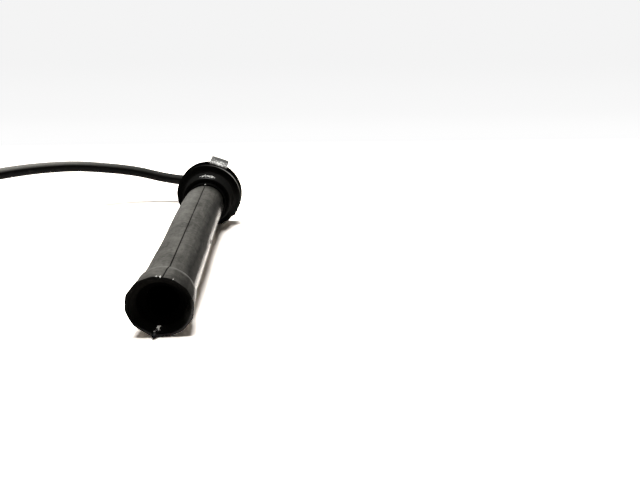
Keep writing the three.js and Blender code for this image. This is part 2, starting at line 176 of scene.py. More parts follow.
def angles_round(count: int, dense_at: Sequence[float] = (), reach: float = 0.05, extra: int = 8) -> Array:
    """Angles once round, with more of them near some places.

    Args:
        count: how many even angles.
        dense_at: the angles that get company.
        reach: how far on each side.
        extra: how many on each side.

    Returns:
        The angles in order, from 0 up to a full turn.
    """
    even = np.linspace(0.0, TURN, count, endpoint=False)
    near = np.linspace(-reach, reach, 2 * extra + 1)
    close = (np.array(dense_at, float)[:, None] + near[None]).ravel() % TURN
    return np.unique(np.round(np.concatenate([even, close]), 6))


def smooth_path(points: Sequence[Sequence[float]], spacing: float) -> Array:
    """A smooth line through points: Catmull-Rom spans whose knots lie a square root of a chord apart.

    Args:
        points: the places that it passes through.
        spacing: how far apart its points are, about.

    Returns:
        The line's points, shape (n, 3), evenly spaced.
    """
    place = np.array(points, float)
    place = np.vstack([2 * place[0] - place[1], place, 2 * place[-1] - place[-2]])
    knot = np.concatenate([[0.0], np.cumsum(np.sqrt(np.linalg.norm(np.diff(place, axis=0), axis=1)))])
    share = np.linspace(0.0, 1.0, 24, endpoint=False)
    p = [place[i:len(place) - 3 + i, None] for i in range(4)]
    k = [knot[i:len(knot) - 3 + i, None, None] for i in range(4)]
    t = k[1] + (k[2] - k[1]) * share[None, :, None]

    def between(a: Array, b: Array, low: Array, high: Array) -> Array:
        """The line from a at low to b at high, at t."""
        return (a * (high - t) + b * (t - low)) / (high - low)

    first = [between(p[i], p[i + 1], k[i], k[i + 1]) for i in range(3)]
    second = [between(first[i], first[i + 1], k[i], k[i + 2]) for i in range(2)]
    line = np.vstack([between(second[0], second[1], k[1], k[2]).reshape(-1, 3), place[-2:-1]])
    run = run_along(line)
    stops = np.linspace(0.0, run[-1], int(np.ceil(run[-1] / spacing)) + 1)
    return np.stack([np.interp(stops, run, side) for side in line.T], -1)


@dataclass
class Shell:
    """A closed surface in a piece's own axes.

    Attributes:
        points: the vertices, shape (n, 3).
        faces: lists of vertex numbers, as arrays of quads and triangles.
        lay: the straight axes that patterns follow, shape (n, 3).
        marks: painted shade from -1 (pale, painted light) to 1 (black), gloss, and painted highlights and flecks
            from 0 to 1, shape (n, 3).
    """

    points: Array
    faces: list[Array]
    lay: Array
    marks: Array

    @classmethod
    def from_grid(cls, grid: Array, marks: Array | None = None, lay: Array | None = None,
                  torus: bool = False) -> "Shell":
        """Skins a grid of rows that each go once round.

        Each quad joins a point, its neighbour in the row, and the same two in the next row. The rows
        close on each other for a torus, and otherwise a fan from the mean of each end row closes it.

        Args:
            grid: shape (rows, columns, 3).
            marks: the same shape, or None for no marks.
            lay: the same shape, or None where the points are their own axes.
            torus: whether the last row meets the first.

        Returns:
            The shell, its faces pointing out.
        """
        rows, columns = grid.shape[:2]
        whole = [grid, grid if lay is None else lay, np.zeros_like(grid) if marks is None else marks]
        number = np.arange(rows * columns).reshape(rows, columns)
        side = np.roll(number, -1, axis=1)
        last = rows if torus else rows - 1
        after, after_side = (np.roll(part, -1, axis=0)[:last] for part in (number, side))
        faces = [np.stack([number[:last], side[:last], after_side, after], -1).reshape(-1, 4)]
        ends = []
        if not torus:
            ends = [0, -1]
            total = rows * columns
            faces.append(np.stack([side[0], number[0], np.full(columns, total)], -1))
            faces.append(np.stack([number[-1], side[-1], np.full(columns, total + 1)], -1))
        points, axes, worn_and_lit = (np.vstack([v.reshape(-1, 3), *(v[end].mean(0) for end in ends)]) for v in whole)
        return cls(points, faces, axes, worn_and_lit).outward()

    def outward(self) -> "Shell":
        """Turns the faces round where the volume, the sum of a . (b x c) / 6, comes out negative.

        Returns:
            The shell.
        """
        corner = [self.points[f[:, :3]] for f in self.faces]
        second = [self.points[f[:, [0, 2, 3]]] for f in self.faces if f.shape[1] == 4]
        volume = sum(np.einsum("ij,ij->", t[:, 0], np.cross(t[:, 1], t[:, 2])) for t in corner + second)
        if volume < 0:
            self.faces = [f[:, ::-1] for f in self.faces]
        return self

    def joined(self, other: "Shell") -> "Shell":
        """This shell and another as one."""
        points, lay, marks = (np.vstack([getattr(s, n) for s in (self, other)]) for n in ("points", "lay", "marks"))
        return Shell(points, self.faces + [f + len(self.points) for f in other.faces], lay, marks)

    def mapped(self, change: Callable[[Array], Array]) -> "Shell":
        """The same shell with its points moved and its own axes kept."""
        return Shell(change(self.points), self.faces, self.lay, self.marks).outward()


@dataclass
class Skin:
    """A turned moulding's surface while it takes shape, as grids with a row for each point of its outline.

    Attributes:
        radius: the distance from the y axis.
        along: the place along it.
        turn: the angle from the seam, in radians.
        angle: the angle from the top towards x, in radians.
    """

    radius: Array
    along: Array
    turn: Array
    angle: Array

    @classmethod
    def turned(cls, outline: Array, turn: Array, seam: Stops = ((0.0, 0.0),)) -> "Skin":
        """An outline at every angle.

        Args:
            outline: (radius, along) points.
            turn: the angles from the seam.
            seam: (along, degrees) stops of the seam's own angle.

        Returns:
            The skin.
        """
        shape = (len(outline), len(turn))
        radius, along, turn = (np.broadcast_to(v, shape) for v in (outline[:, :1], outline[:, 1:], turn[None]))
        return cls(radius, along, turn, turn + np.radians(between_stops(along, seam)))

    @property
    def off_top(self) -> Array:
        """The angle from the seam, from minus half a turn to half a turn."""
        return (self.turn + HALF_TURN) % TURN - HALF_TURN

    @property
    def degrees(self) -> Array:
        """The angle from the top, from -180 to 180 degrees."""
        return np.degrees(np.arctan2(np.sin(self.angle), np.cos(self.angle)))

    def shell(self, *marks: Array) -> Shell:
        """Points x = r sin(angle), z = r cos(angle), with the marks' three numbers."""
        grid = np.stack([self.radius * np.sin(self.angle), self.along, self.radius * np.cos(self.angle)], -1)
        return Shell.from_grid(grid, np.stack(marks, -1), torus=True)


def tube(path: Array, radius: float, sides: int, rounding: float) -> tuple[Array, Array]:
    """A round section carried along a path that is never upright.

    The section stands square to the path; its own axes are Z x tangent and tangent x side.

    Args:
        path: the centres, shape (n, 3).
        radius: the section's radius.
        sides: points round it.
        rounding: how much smaller the first and last section are.

    Returns:
        The grid of points, and the straightened grid: the section's two axes and the run along the path.
    """
    tangent = unit(np.gradient(path, axis=0))
    side = unit(np.cross([0.0, 0.0, 1.0], tangent))
    up = np.cross(tangent, side)
    turn = np.linspace(0.0, TURN, sides, endpoint=False)
    size = np.full(len(path), radius)
    size[[0, -1]] -= rounding
    across = size[:, None] * np.cos(turn)[None]
    above = size[:, None] * np.sin(turn)[None]
    grid = path[:, None] + across[..., None] * side[:, None] + above[..., None] * up[:, None]
    return grid, np.stack([across, above, np.broadcast_to(run_along(path)[:, None], across.shape)], -1)


def rectangle(across: float, along: float, edge: float) -> list[Corner]:
    """A rectangle's corners from its half sizes, each with the edge's radius."""
    return [(-across, -along, edge), (across, -along, edge), (across, along, edge), (-across, along, edge)]


def rounded_block(low: Sequence[float], high: Sequence[float], edge: float) -> Shell:
    """A block with round edges: rows of a rounded rectangle that draws in over a quarter circle at each end.

    Args:
        low: the lowest corner.
        high: the highest corner.
        edge: the edges' radius.

    Returns:
        The shell.
    """
    low_corner, high_corner = np.array(low, float), np.array(high, float)
    half = (high_corner - low_corner) / 2.0
    outline = closed_outline(rectangle(half[0], half[2], edge), spacing=3.0, arc_points=4)
    quarter = np.linspace(0.0, np.pi / 2.0, 4)
    inset = np.concatenate([edge * (1.0 - np.sin(quarter)), edge * (1.0 - np.sin(quarter[::-1]))])
    reach = half[1] - edge * (1.0 - np.cos(quarter))
    along = np.concatenate([-reach, reach[::-1]])
    shrink = 1.0 - inset[:, None] / np.abs(outline).max(0)[None]
    section = outline[None] * shrink[:, None]
    along = np.broadcast_to(along[:, None], section.shape[:2])
    grid = np.stack([section[..., 0], along, section[..., 1]], -1)
    return Shell.from_grid(grid + (low_corner + high_corner) / 2.0)


@dataclass(frozen=True)
class Place:
    """Where a boot's own axes lie in the row's frame: a tilt about X in radians, then a move in mm."""

    tilt: float
    x: float
    y: float
    z: float

    def world(self, points: Array) -> Array:
        """Points in the row's frame: y cos - z sin, y sin + z cos, then the move.

        Args:
            points: own points in mm, the last axis being x, y, z.

        Returns:
            The same points in the row's frame, in mm.
        """
        across, along, above = np.moveaxis(np.asarray(points, float), -1, 0)
        cos, sin = np.cos(self.tilt), np.sin(self.tilt)
        return np.stack([
            across + self.x, along * cos - above * sin + self.y, along * sin + above * cos + self.z,
        ], -1)


# Finishes


def operator(operation: str, swapped: bool = False) -> Callable[["Signal", "Number"], "Signal"]:
    """A method that joins two numbers with a Math node.

    Args:
        operation: the node's operation.
        swapped: whether the signal comes second, as in a reflected operator.

    Returns:
        The method.
    """

    def joined(self: "Signal", other: "Number") -> "Signal":
        """This signal and another number, joined."""
        return self.math(operation, *((other, self) if swapped else (self, other)))

    return joined


class Signal:
    """A number that varies over a surface, with Python's operators adding Math nodes."""

    def __init__(self, graph: "Graph", socket: bpy.types.NodeSocket) -> None:
        """Wraps a node's output socket."""
        self.graph = graph
        self.socket = socket

    def math(self, operation: str, *values: "Number") -> "Signal":
        """A Math node with this operation on the values."""
        made = self.graph.node("ShaderNodeMath", {"operation": operation}, dict(enumerate(values)))
        return Signal(self.graph, made.outputs[0])

    __add__ = __radd__ = operator("ADD")
    __mul__ = __rmul__ = operator("MULTIPLY")
    __sub__, __rsub__ = operator("SUBTRACT"), operator("SUBTRACT", True)
    __truediv__, __rtruediv__ = operator("DIVIDE"), operator("DIVIDE", True)

    def clamped(self) -> "Signal":
        """The number kept between 0 and 1."""
        return self.math("MINIMUM", self.math("MAXIMUM", self, 0.0), 1.0)

    def eased(self, low: float, high: float) -> "Signal":
        """Zero up to low, one from high, smooth between."""
        made = self.graph.node("ShaderNodeMapRange", {"interpolation_type": "SMOOTHSTEP"},
                               {"Value": self, "From Min": low, "From Max": high})
        return Signal(self.graph, made.outputs["Result"])


Number = Union[Signal, float]
Plug = Union[Signal, bpy.types.NodeSocket, float, Sequence[float]]


class Graph:
    """The nodes of one material, or of the world."""

    def __init__(self, owner: bpy.types.Material | bpy.types.World) -> None:
        """Starts with none of the owner's nodes.

        Args:
            owner: the material or world.
        """
        self.owner = owner
        self.owner.use_nodes = True
        self.tree = self.owner.node_tree
        self.tree.nodes.clear()

    @classmethod
    def of_material(cls, name: str) -> "Graph":
        """The graph of a new material of that name."""
        return cls(bpy.data.materials.new(name))

    def node(self, kind: str, settings: dict | None = None, inputs: dict | None = None) -> bpy.types.Node:
        """Adds any node.

        Args:
            kind: the node's type.
            settings: its properties, set first.
            inputs: a value, socket or signal for each named or numbered input.

        Returns:
            The node.
        """
        made = self.tree.nodes.new(kind)
        for name, value in (settings or {}).items():
            setattr(made, name, value)
        for name, value in (inputs or {}).items():
            self.plug(made.inputs[name], value)
        return made

    def plug(self, target: bpy.types.NodeSocket, value: Plug) -> None:
        """Links a socket or signal to an input, or sets a plain value on it.

        Args:
            target: the input.
            value: what goes in.
        """
        if isinstance(value, (Signal, bpy.types.NodeSocket)):
            self.tree.links.new(value.socket if isinstance(value, Signal) else value, target)
        else:
            target.default_value = value

    def kept(self, name: Kept) -> bpy.types.NodeSocket:
        """The vector attribute of that name."""
        return self.node("ShaderNodeAttribute", {"attribute_name": name.value}).outputs["Vector"]

    def object_lay(self) -> bpy.types.NodeSocket:
        """Object coordinates in millimetres, for a CAD node and the paper."""
        place = self.node("ShaderNodeTexCoord").outputs["Object"]
        return self.stretched(place, (1.0 / METRES,) * 3)

    def stretched(self, vector: bpy.types.NodeSocket, factors: Sequence[float]) -> bpy.types.NodeSocket:
        """A vector times a factor on each axis."""
        return self.node("ShaderNodeVectorMath", {"operation": "MULTIPLY"}, {0: vector, 1: factors}).outputs[0]

    def parts(self, vector: bpy.types.NodeSocket) -> list[Signal]:
        """A vector's three numbers."""
        made = self.node("ShaderNodeSeparateXYZ", None, {0: vector})
        return [Signal(self, socket) for socket in made.outputs]

    def noise(self, vector: bpy.types.NodeSocket, scale: float, detail: float = 2.0, rough: float = 0.5) -> Signal:
        """Soft noise from 0 to 1: scale is features per mm, detail how many finer layers, rough their strength."""
        made = self.node("ShaderNodeTexNoise", None,
                         {"Vector": vector, "Scale": scale, "Detail": detail, "Roughness": rough})
        return Signal(self, made.outputs[0])

    def spots(self, vector: bpy.types.NodeSocket, scale: float, size: float) -> Signal:
        """Round spots: one at the middle of a cell, none past size, in shares of a cell."""
        made = self.node("ShaderNodeTexVoronoi", None, {"Vector": vector, "Scale": scale})
        return 1.0 - Signal(self, made.outputs["Distance"]).eased(0.4 * size, size)

    def seen(self) -> Signal:
        """Which rays see the paper as the film does.

        Returns:
            One for a camera ray, and for a glossy ray straight after one; zero for light itself.
        """
        ray = self.node("ShaderNodeLightPath")
        camera, glossy, spread = (
            Signal(self, ray.outputs[name]) for name in ("Is Camera Ray", "Is Glossy Ray", "Diffuse Depth")
        )
        return (camera + glossy * (1.0 - spread.clamped())).clamped()

    def mixed(self, share: Number, first: Plug, second: Plug) -> bpy.types.NodeSocket:
        """A colour between two.

        Args:
            share: how much of the second there is.
            first: a colour.
            second: the other.

        Returns:
            The mix.
        """
        first, second = ((*c, 1.0) if isinstance(c, tuple) else c for c in (first, second))
        made = self.node("ShaderNodeMix", {"data_type": "RGBA"}, {0: share, 6: first, 7: second})
        return made.outputs[2]

    def bump(self, height: Signal, depth: float) -> bpy.types.NodeSocket:
        """A normal for a height of which 1 stands for the depth, in millimetres."""
        inputs = {"Height": height, "Distance": depth * METRES, "Strength": 1.0}
        return self.node("ShaderNodeBump", None, inputs).outputs[0]

    def finished(self, colour: Plug, roughness: Number, normal: bpy.types.NodeSocket,
                 more: dict[str, Number]) -> bpy.types.Material:
        """Closes the graph with the usual shader.

        Args:
            colour: the base colour.
            roughness: the roughness.
            normal: the normal.
            more: other inputs.

        Returns:
            The material.
        """
        inputs = {"Base Color": colour, "Roughness": roughness, **more, "Normal": normal}
        shader = self.node("ShaderNodeBsdfPrincipled", None, inputs)
        return self.closed(shader)

    def closed(self, shader: bpy.types.Node, kind: str = "ShaderNodeOutputMaterial") -> bpy.types.ID:
        """Joins the last shader to the output, and gives the material or world."""
        self.node(kind, None, {"Surface": shader.outputs[0]})
        return self.owner


class Finish(ABC):
    """A finish, whose material is made once; one for the lead also names a record's slot."""

    name: str
    slot: Slot

    @abstractmethod
    def material(self) -> bpy.types.Material:
        """Makes the material."""


@dataclass(frozen=True)
class MouldedRubber(Finish):
    """Black moulded rubber: dust with painted light, paler on its top and left, a greasy film on the rest, painted
    highlights and pale flecks.

    Attributes:
        dark: clean rubber.
        dusty: rubber under dust, with painted light where its top and left face the light.
        dust: the share of dust and painted light where they lie thickest.
        film: the weight of the film where there is no dust.
        radius: the moulding's radius in mm, which says where its top ends.
        thin_film: the film's weight on the dust, as a share.
        black: where the marks' painted shade is full.
        pale: where the marks make it fully pale: painted light, painted highlights and the tab's paler colour.
        glint_and_fleck: a painted highlight, and a fleck.
    """

    name: str
    slot: Slot
    dark: Colour
    dusty: Colour
    dust: float
    film: float
    radius: float
    roughness: float = 0.6
    film_roughness: float = 0.25
    film_index: float = 2.0
    thin_film: float = 0.06
    black: Colour = (0.0012, 0.0012, 0.0012)
    pale: Colour = (0.62, 0.62, 0.59)
    glint_and_fleck: Colour = (0.92, 0.92, 0.89)

    def material(self) -> bpy.types.Material:
        """Makes the material: above and left of the axis there is dust with painted light, below and right of it the
        film.

        Returns:
            The material.
        """
        graph = Graph.of_material(self.name)
        lay = graph.kept(Kept.LAY)
        across, _, above = graph.parts(lay)
        shade, gloss, glint_and_fleck_share = graph.parts(graph.kept(Kept.MARKS))
        cloud = graph.noise(lay, 0.11, 4.0, 0.6)
        mottle = graph.noise(lay, 0.7, 3.0, 0.6)
        smear = graph.noise(graph.stretched(lay, (1.0, 0.09, 1.0)), 0.55, 3.0, 0.6)
        grain = graph.noise(lay, 0.85, 3.0, 0.65)
        specks = graph.spots(lay, 0.42, 0.16) * graph.noise(lay, 0.31).eased(0.5, 0.62)
        # Painted light: the paler dust lies where the surface faces up and left, standing for light from above-left
        # as well as dust.
        lit_side = (above * 0.94 - across * 0.42) / self.radius + (smear - 0.5) * 0.4
        uneven = 0.72 + (cloud - 0.5) * 1.1 + (mottle - 0.5) * 0.9 + (smear - 0.5) * 0.4 + specks * 0.25
        dust = (lit_side.eased(-0.02, 1.0) * 0.86 + 0.14) * uneven * self.dust
        colour = graph.mixed(dust.clamped(), self.dark, self.dusty)
        # The marks: painted shade darkens to black, painted light turns pale, painted highlights and flecks take the
        # glint colour.
        colour = graph.mixed(shade.clamped(), colour, self.black)
        colour = graph.mixed((shade * -1.0).clamped(), colour, self.pale)
        colour = graph.mixed((grain * 2.2 + glint_and_fleck_share).eased(1.7, 1.86), colour, self.glint_and_fleck)
        film = (1.0 - lit_side.eased(-0.5, -0.12)) * self.film * (0.8 + mottle.eased(0.3, 0.55) * 0.2)
        film = ((film + self.thin_film * self.film + gloss) * (1.0 - shade.clamped())).clamped()
        normal = graph.bump(smear * 0.3 + grain * 0.3 + mottle * 0.3, 0.06)
        return graph.finished(colour, (self.roughness + (mottle - 0.5) * 0.3).clamped(), normal, {
            "Specular IOR Level": 0.0, "Coat Weight": film, "Coat Roughness": self.film_roughness,
            "Coat IOR": self.film_index,
        })


@dataclass(frozen=True)
class DrawnJacket(Finish):
    """Extruded cable jacket: fine die lines along it, dust and a painted highlight along its top, faint rubs.

    Attributes:
        dark: the clean jacket.
        dusty: the jacket under dust, with a painted highlight along its top.
        gloss: the specular level.
        least_near_cap: the least of the dust and painted highlight, near the cap, as a share.
        worn_and_lit: from where to where along the cable, in mm, the dust and painted highlight grow to all of it.
        on_cad: whether it goes on a CAD node, which has no dust and no own axes.
    """

    name: str
    slot: Slot
    dark: Colour
    dusty: Colour
    gloss: float
    roughness: float = 0.4
    least_near_cap: float = 0.14
    worn_and_lit: tuple[float, float] = (72.0, 150.0)
    on_cad: bool = False

    def material(self) -> bpy.types.Material:
        """Makes the material; lay is the section's two axes and the run along the cable.

        Returns:
            The material.
        """
        graph = Graph.of_material(self.name)
        lay = graph.object_lay() if self.on_cad else graph.kept(Kept.LAY)
        drawn = graph.noise(graph.stretched(lay, (1.0, 1.0, 0.02)), 3.2, 3.0, 0.6)
        cloud = graph.noise(graph.stretched(lay, (1.0, 1.0, 0.35)), 0.13, 3.0)
        grain = graph.noise(lay, 2.0, 2.0)
        rub = graph.noise(graph.stretched(lay, (1.0, 1.0, 0.2)), 0.6, 3.0, 0.65).eased(0.6, 0.75)
        dust = rub * 0.06
        if not self.on_cad:
            _, above, run = graph.parts(lay)
            worn_and_lit = self.least_near_cap + run.eased(*self.worn_and_lit) * (1.0 - self.least_near_cap)
            # Painted highlight: a pale dusty band along the section's top, weakest near the cap.
            top = (above / CABLE_RADIUS).eased(0.25, 0.9) * worn_and_lit
            dust = dust + top * (0.5 + cloud * 0.6 + (grain - 0.5) * 0.6)
        colour = graph.mixed(dust.clamped(), self.dark, self.dusty)
        rough = self.roughness + (cloud - 0.5) * 0.18 + rub * 0.1 + (drawn - 0.5) * 0.1
        return graph.finished(colour, rough, graph.bump(drawn * 0.6 + grain * 0.3, 0.03),
                              {"Specular IOR Level": self.gloss})


@dataclass(frozen=True)
class BareSteel(Finish):
    """Plated or drawn steel: brushed lines round or along it and a thin tarnish in patches."""

    name: str
    slot: Slot
    bright: Colour
    tarnished: Colour
    roughness: float
    brushed: Corner

    def material(self) -> bpy.types.Material:
        """Makes the material on Object coordinates, since it goes on CAD nodes.

        Returns:
            The material.
        """
        graph = Graph.of_material(self.name)
        lay = graph.object_lay()
        lines = graph.noise(graph.stretched(lay, self.brushed), 1.6, 2.0)
        patch = graph.noise(lay, 0.35, 3.0).eased(0.45, 0.75)
        colour = graph.mixed(patch, self.bright, self.tarnished)
        rough = self.roughness + (lines - 0.5) * 0.25 + patch * 0.15
        return graph.finished(colour, rough, graph.bump(lines, 0.01), {"Metallic": 1.0})


@dataclass(frozen=True)
class MouldedNylon(Finish):
    """Black nylon: faint flow lines along the strap and a fine grain."""

    name: str
    slot: Slot
    dark: Colour
    pale: Colour
    roughness: float = 0.42

    def material(self) -> bpy.types.Material:
        """Makes the material, its flow lines along the strap.

        Returns:
            The material.
        """
        graph = Graph.of_material(self.name)
        lay = graph.kept(Kept.LAY)
        flow = graph.noise(graph.stretched(lay, (1.0, 0.2, 1.0)), 0.9, 3.0)
        grain = graph.noise(lay, 5.0, 2.0)
        colour = graph.mixed(flow.eased(0.4, 0.8), self.dark, self.pale)
        rough = self.roughness + (flow - 0.5) * 0.25
        return graph.finished(colour, rough, graph.bump(flow * 0.4 + grain * 0.4, 0.03), {})


@dataclass(frozen=True)
class StudioPaper(Finish):
    """White paper under and behind the lead, which camera and glossy rays see as the film does, overexposed.

    Attributes:
        colour: the paper.
        layers: how many times its light counts for those rays.
        far: from where to where behind the lead, in mm, it passes into an even glow.
        fade: from where to where, in mm, that glow fades to the back's.
        glows: the glow on the floor, at the back and on the wall.
        wall_height: the wall's height in mm.
    """

    name: str = "studio_paper"
    colour: Colour = (0.86, 0.815, 0.765)
    layers: int = 3
    far: tuple[float, float] = (180.0, 420.0)
    fade: tuple[float, float] = (420.0, 900.0)
    glows: Corner = (0.99, 0.94, 0.905)
    wall_height: float = 110.0

    def material(self) -> bpy.types.Material:
        """Makes the material: a sheet, the same sheet added up, and the even wall that this passes into.

        Returns:
            The material.
        """
        graph = Graph.of_material(self.name)
        sheet = graph.node("ShaderNodeBsdfDiffuse", None, {"Color": (*self.colour, 1.0)})
        floor = sheet
        for _ in range(self.layers - 1):
            floor = graph.node("ShaderNodeAddShader", None, {0: floor.outputs[0], 1: sheet.outputs[0]})
        _, along, height = graph.parts(graph.object_lay())
        near, back, high = self.glows
        glow = near - along.eased(*self.fade) * (near - back) - height.eased(0.0, self.wall_height) * (back - high)
        wall = graph.node("ShaderNodeEmission", None, {"Strength": glow})
        parts = {0: along.eased(*self.far), 1: floor.outputs[0], 2: wall.outputs[0]}
        seen = graph.node("ShaderNodeMixShader", None, parts)
        parts = {0: graph.seen(), 1: sheet.outputs[0], 2: seen.outputs[0]}
        return graph.closed(graph.node("ShaderNodeMixShader", None, parts))


# The boot's dusty colour is dust with painted light; the jacket's is dust with a painted highlight.
BOOT_RUBBER = MouldedRubber("boot_rubber", Slot.BOOT, (0.012, 0.012, 0.011), (0.188, 0.183, 0.166), 1.0, 1.0, 10.45)
CAP_RUBBER = MouldedRubber("cap_rubber", Slot.CAP, (0.002, 0.002, 0.002), (0.006, 0.006, 0.0058), 1.0, 0.03, 19.0)
JACKET = DrawnJacket("cable_jacket", Slot.JACKET, (0.004, 0.004, 0.004), (0.33, 0.326, 0.3), 0.03)
JACKET_INSIDE = DrawnJacket("cable_jacket_inside", Slot.JACKET, (0.01, 0.01, 0.01), (0.03, 0.03, 0.028), 0.3,
                            on_cad=True)
PLATED_STEEL = BareSteel("plated_steel", Slot.PLATED, (0.62, 0.6, 0.56), (0.4, 0.37, 0.32), 0.32, (0.6, 4.0, 0.6))
SPRING_STEEL = BareSteel("spring_steel", Slot.SPRING, (0.45, 0.44, 0.42), (0.2, 0.18, 0.16), 0.36, (2.0, 2.0, 2.0))
TIE_NYLON = MouldedNylon("tie_nylon", Slot.TIE, (0.01, 0.01, 0.01), (0.03, 0.03, 0.03))


def linked(name: str, data: bpy.types.ID) -> bpy.types.Object:
    """A new object with this data in the scene.

    Args:
        name: its name.
        data: a mesh, lamp or camera.

    Returns:
        The object, at the origin.
    """
    made = bpy.data.objects.new(name, data)
    bpy.context.scene.collection.objects.link(made)
    return made


class Bench:
    """Makes finished pieces and keeps each finish's material."""

    def __init__(self) -> None:
        """Starts with no materials made."""
        self.made: dict[str, bpy.types.Material] = {}

    def material(self, finish: Finish) -> bpy.types.Material:
        """The finish's material, made the first time it is asked for."""
        if finish.name not in self.made:
            self.made[finish.name] = finish.material()
        return self.made[finish.name]

    def piece(self, name: str, shell: Shell, finish: Finish, *nodes: str) -> bpy.types.Object:
        """Puts a shell into a mesh object at the origin that rides on the lead and stands for CAD nodes.

        Args:
            name: the piece's name.
            shell: its surface in the row's frame, in millimetres.
            finish: its finish.
            nodes: the CAD nodes that it replaces.

        Returns:
            The piece.
        """
        mesh = bpy.data.meshes.new(name)
        faces = [row for group in shell.faces for row in group.tolist()]
        mesh.from_pydata((shell.points * METRES).tolist(), [], faces)
        for kept, values in ((Kept.LAY, shell.lay), (Kept.MARKS, shell.marks)):
            attribute = mesh.attributes.new(kept.value, "FLOAT_VECTOR", "POINT")
            attribute.data.foreach_set("vector", np.ascontiguousarray(values, np.float32).ravel())
        mesh.shade_smooth()
        mesh.set_sharp_from_angle(angle=np.radians(CREASE_DEGREES))
        mesh.materials.append(self.material(finish))
        mesh.update()
        made = linked(name, mesh)
        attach(made, "root")
        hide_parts(*nodes)
        LOG.info("%s: %d faces, replaces %s", name, len(mesh.polygons), ", ".join(nodes))
        return made

    def refinish(self, node: str, finish: Finish) -> None:
        """Gives a CAD node a better material.

        Args:
            node: its name.
            finish: the finish.
        """
        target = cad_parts[node]
        target.data.materials.clear()
        target.data.materials.append(self.material(finish))
        LOG.info("%s: kept, finished as %s", node, finish.name)


# The lead's sub-assemblies


@dataclass(frozen=True)
class Zones:
    """Where things lie on the plug boot: shares of 0 to 1, and mm round from the two seams.

    Attributes:
        outside: the tube and the lip.
        inside: the front of the funnel.
        nub: the nub.
        top: how far the seam on top is.
        bottom: how far the seam below is.
    """

    outside: Array
    inside: Array
    nub: Array
    top: Array
    bottom: Array


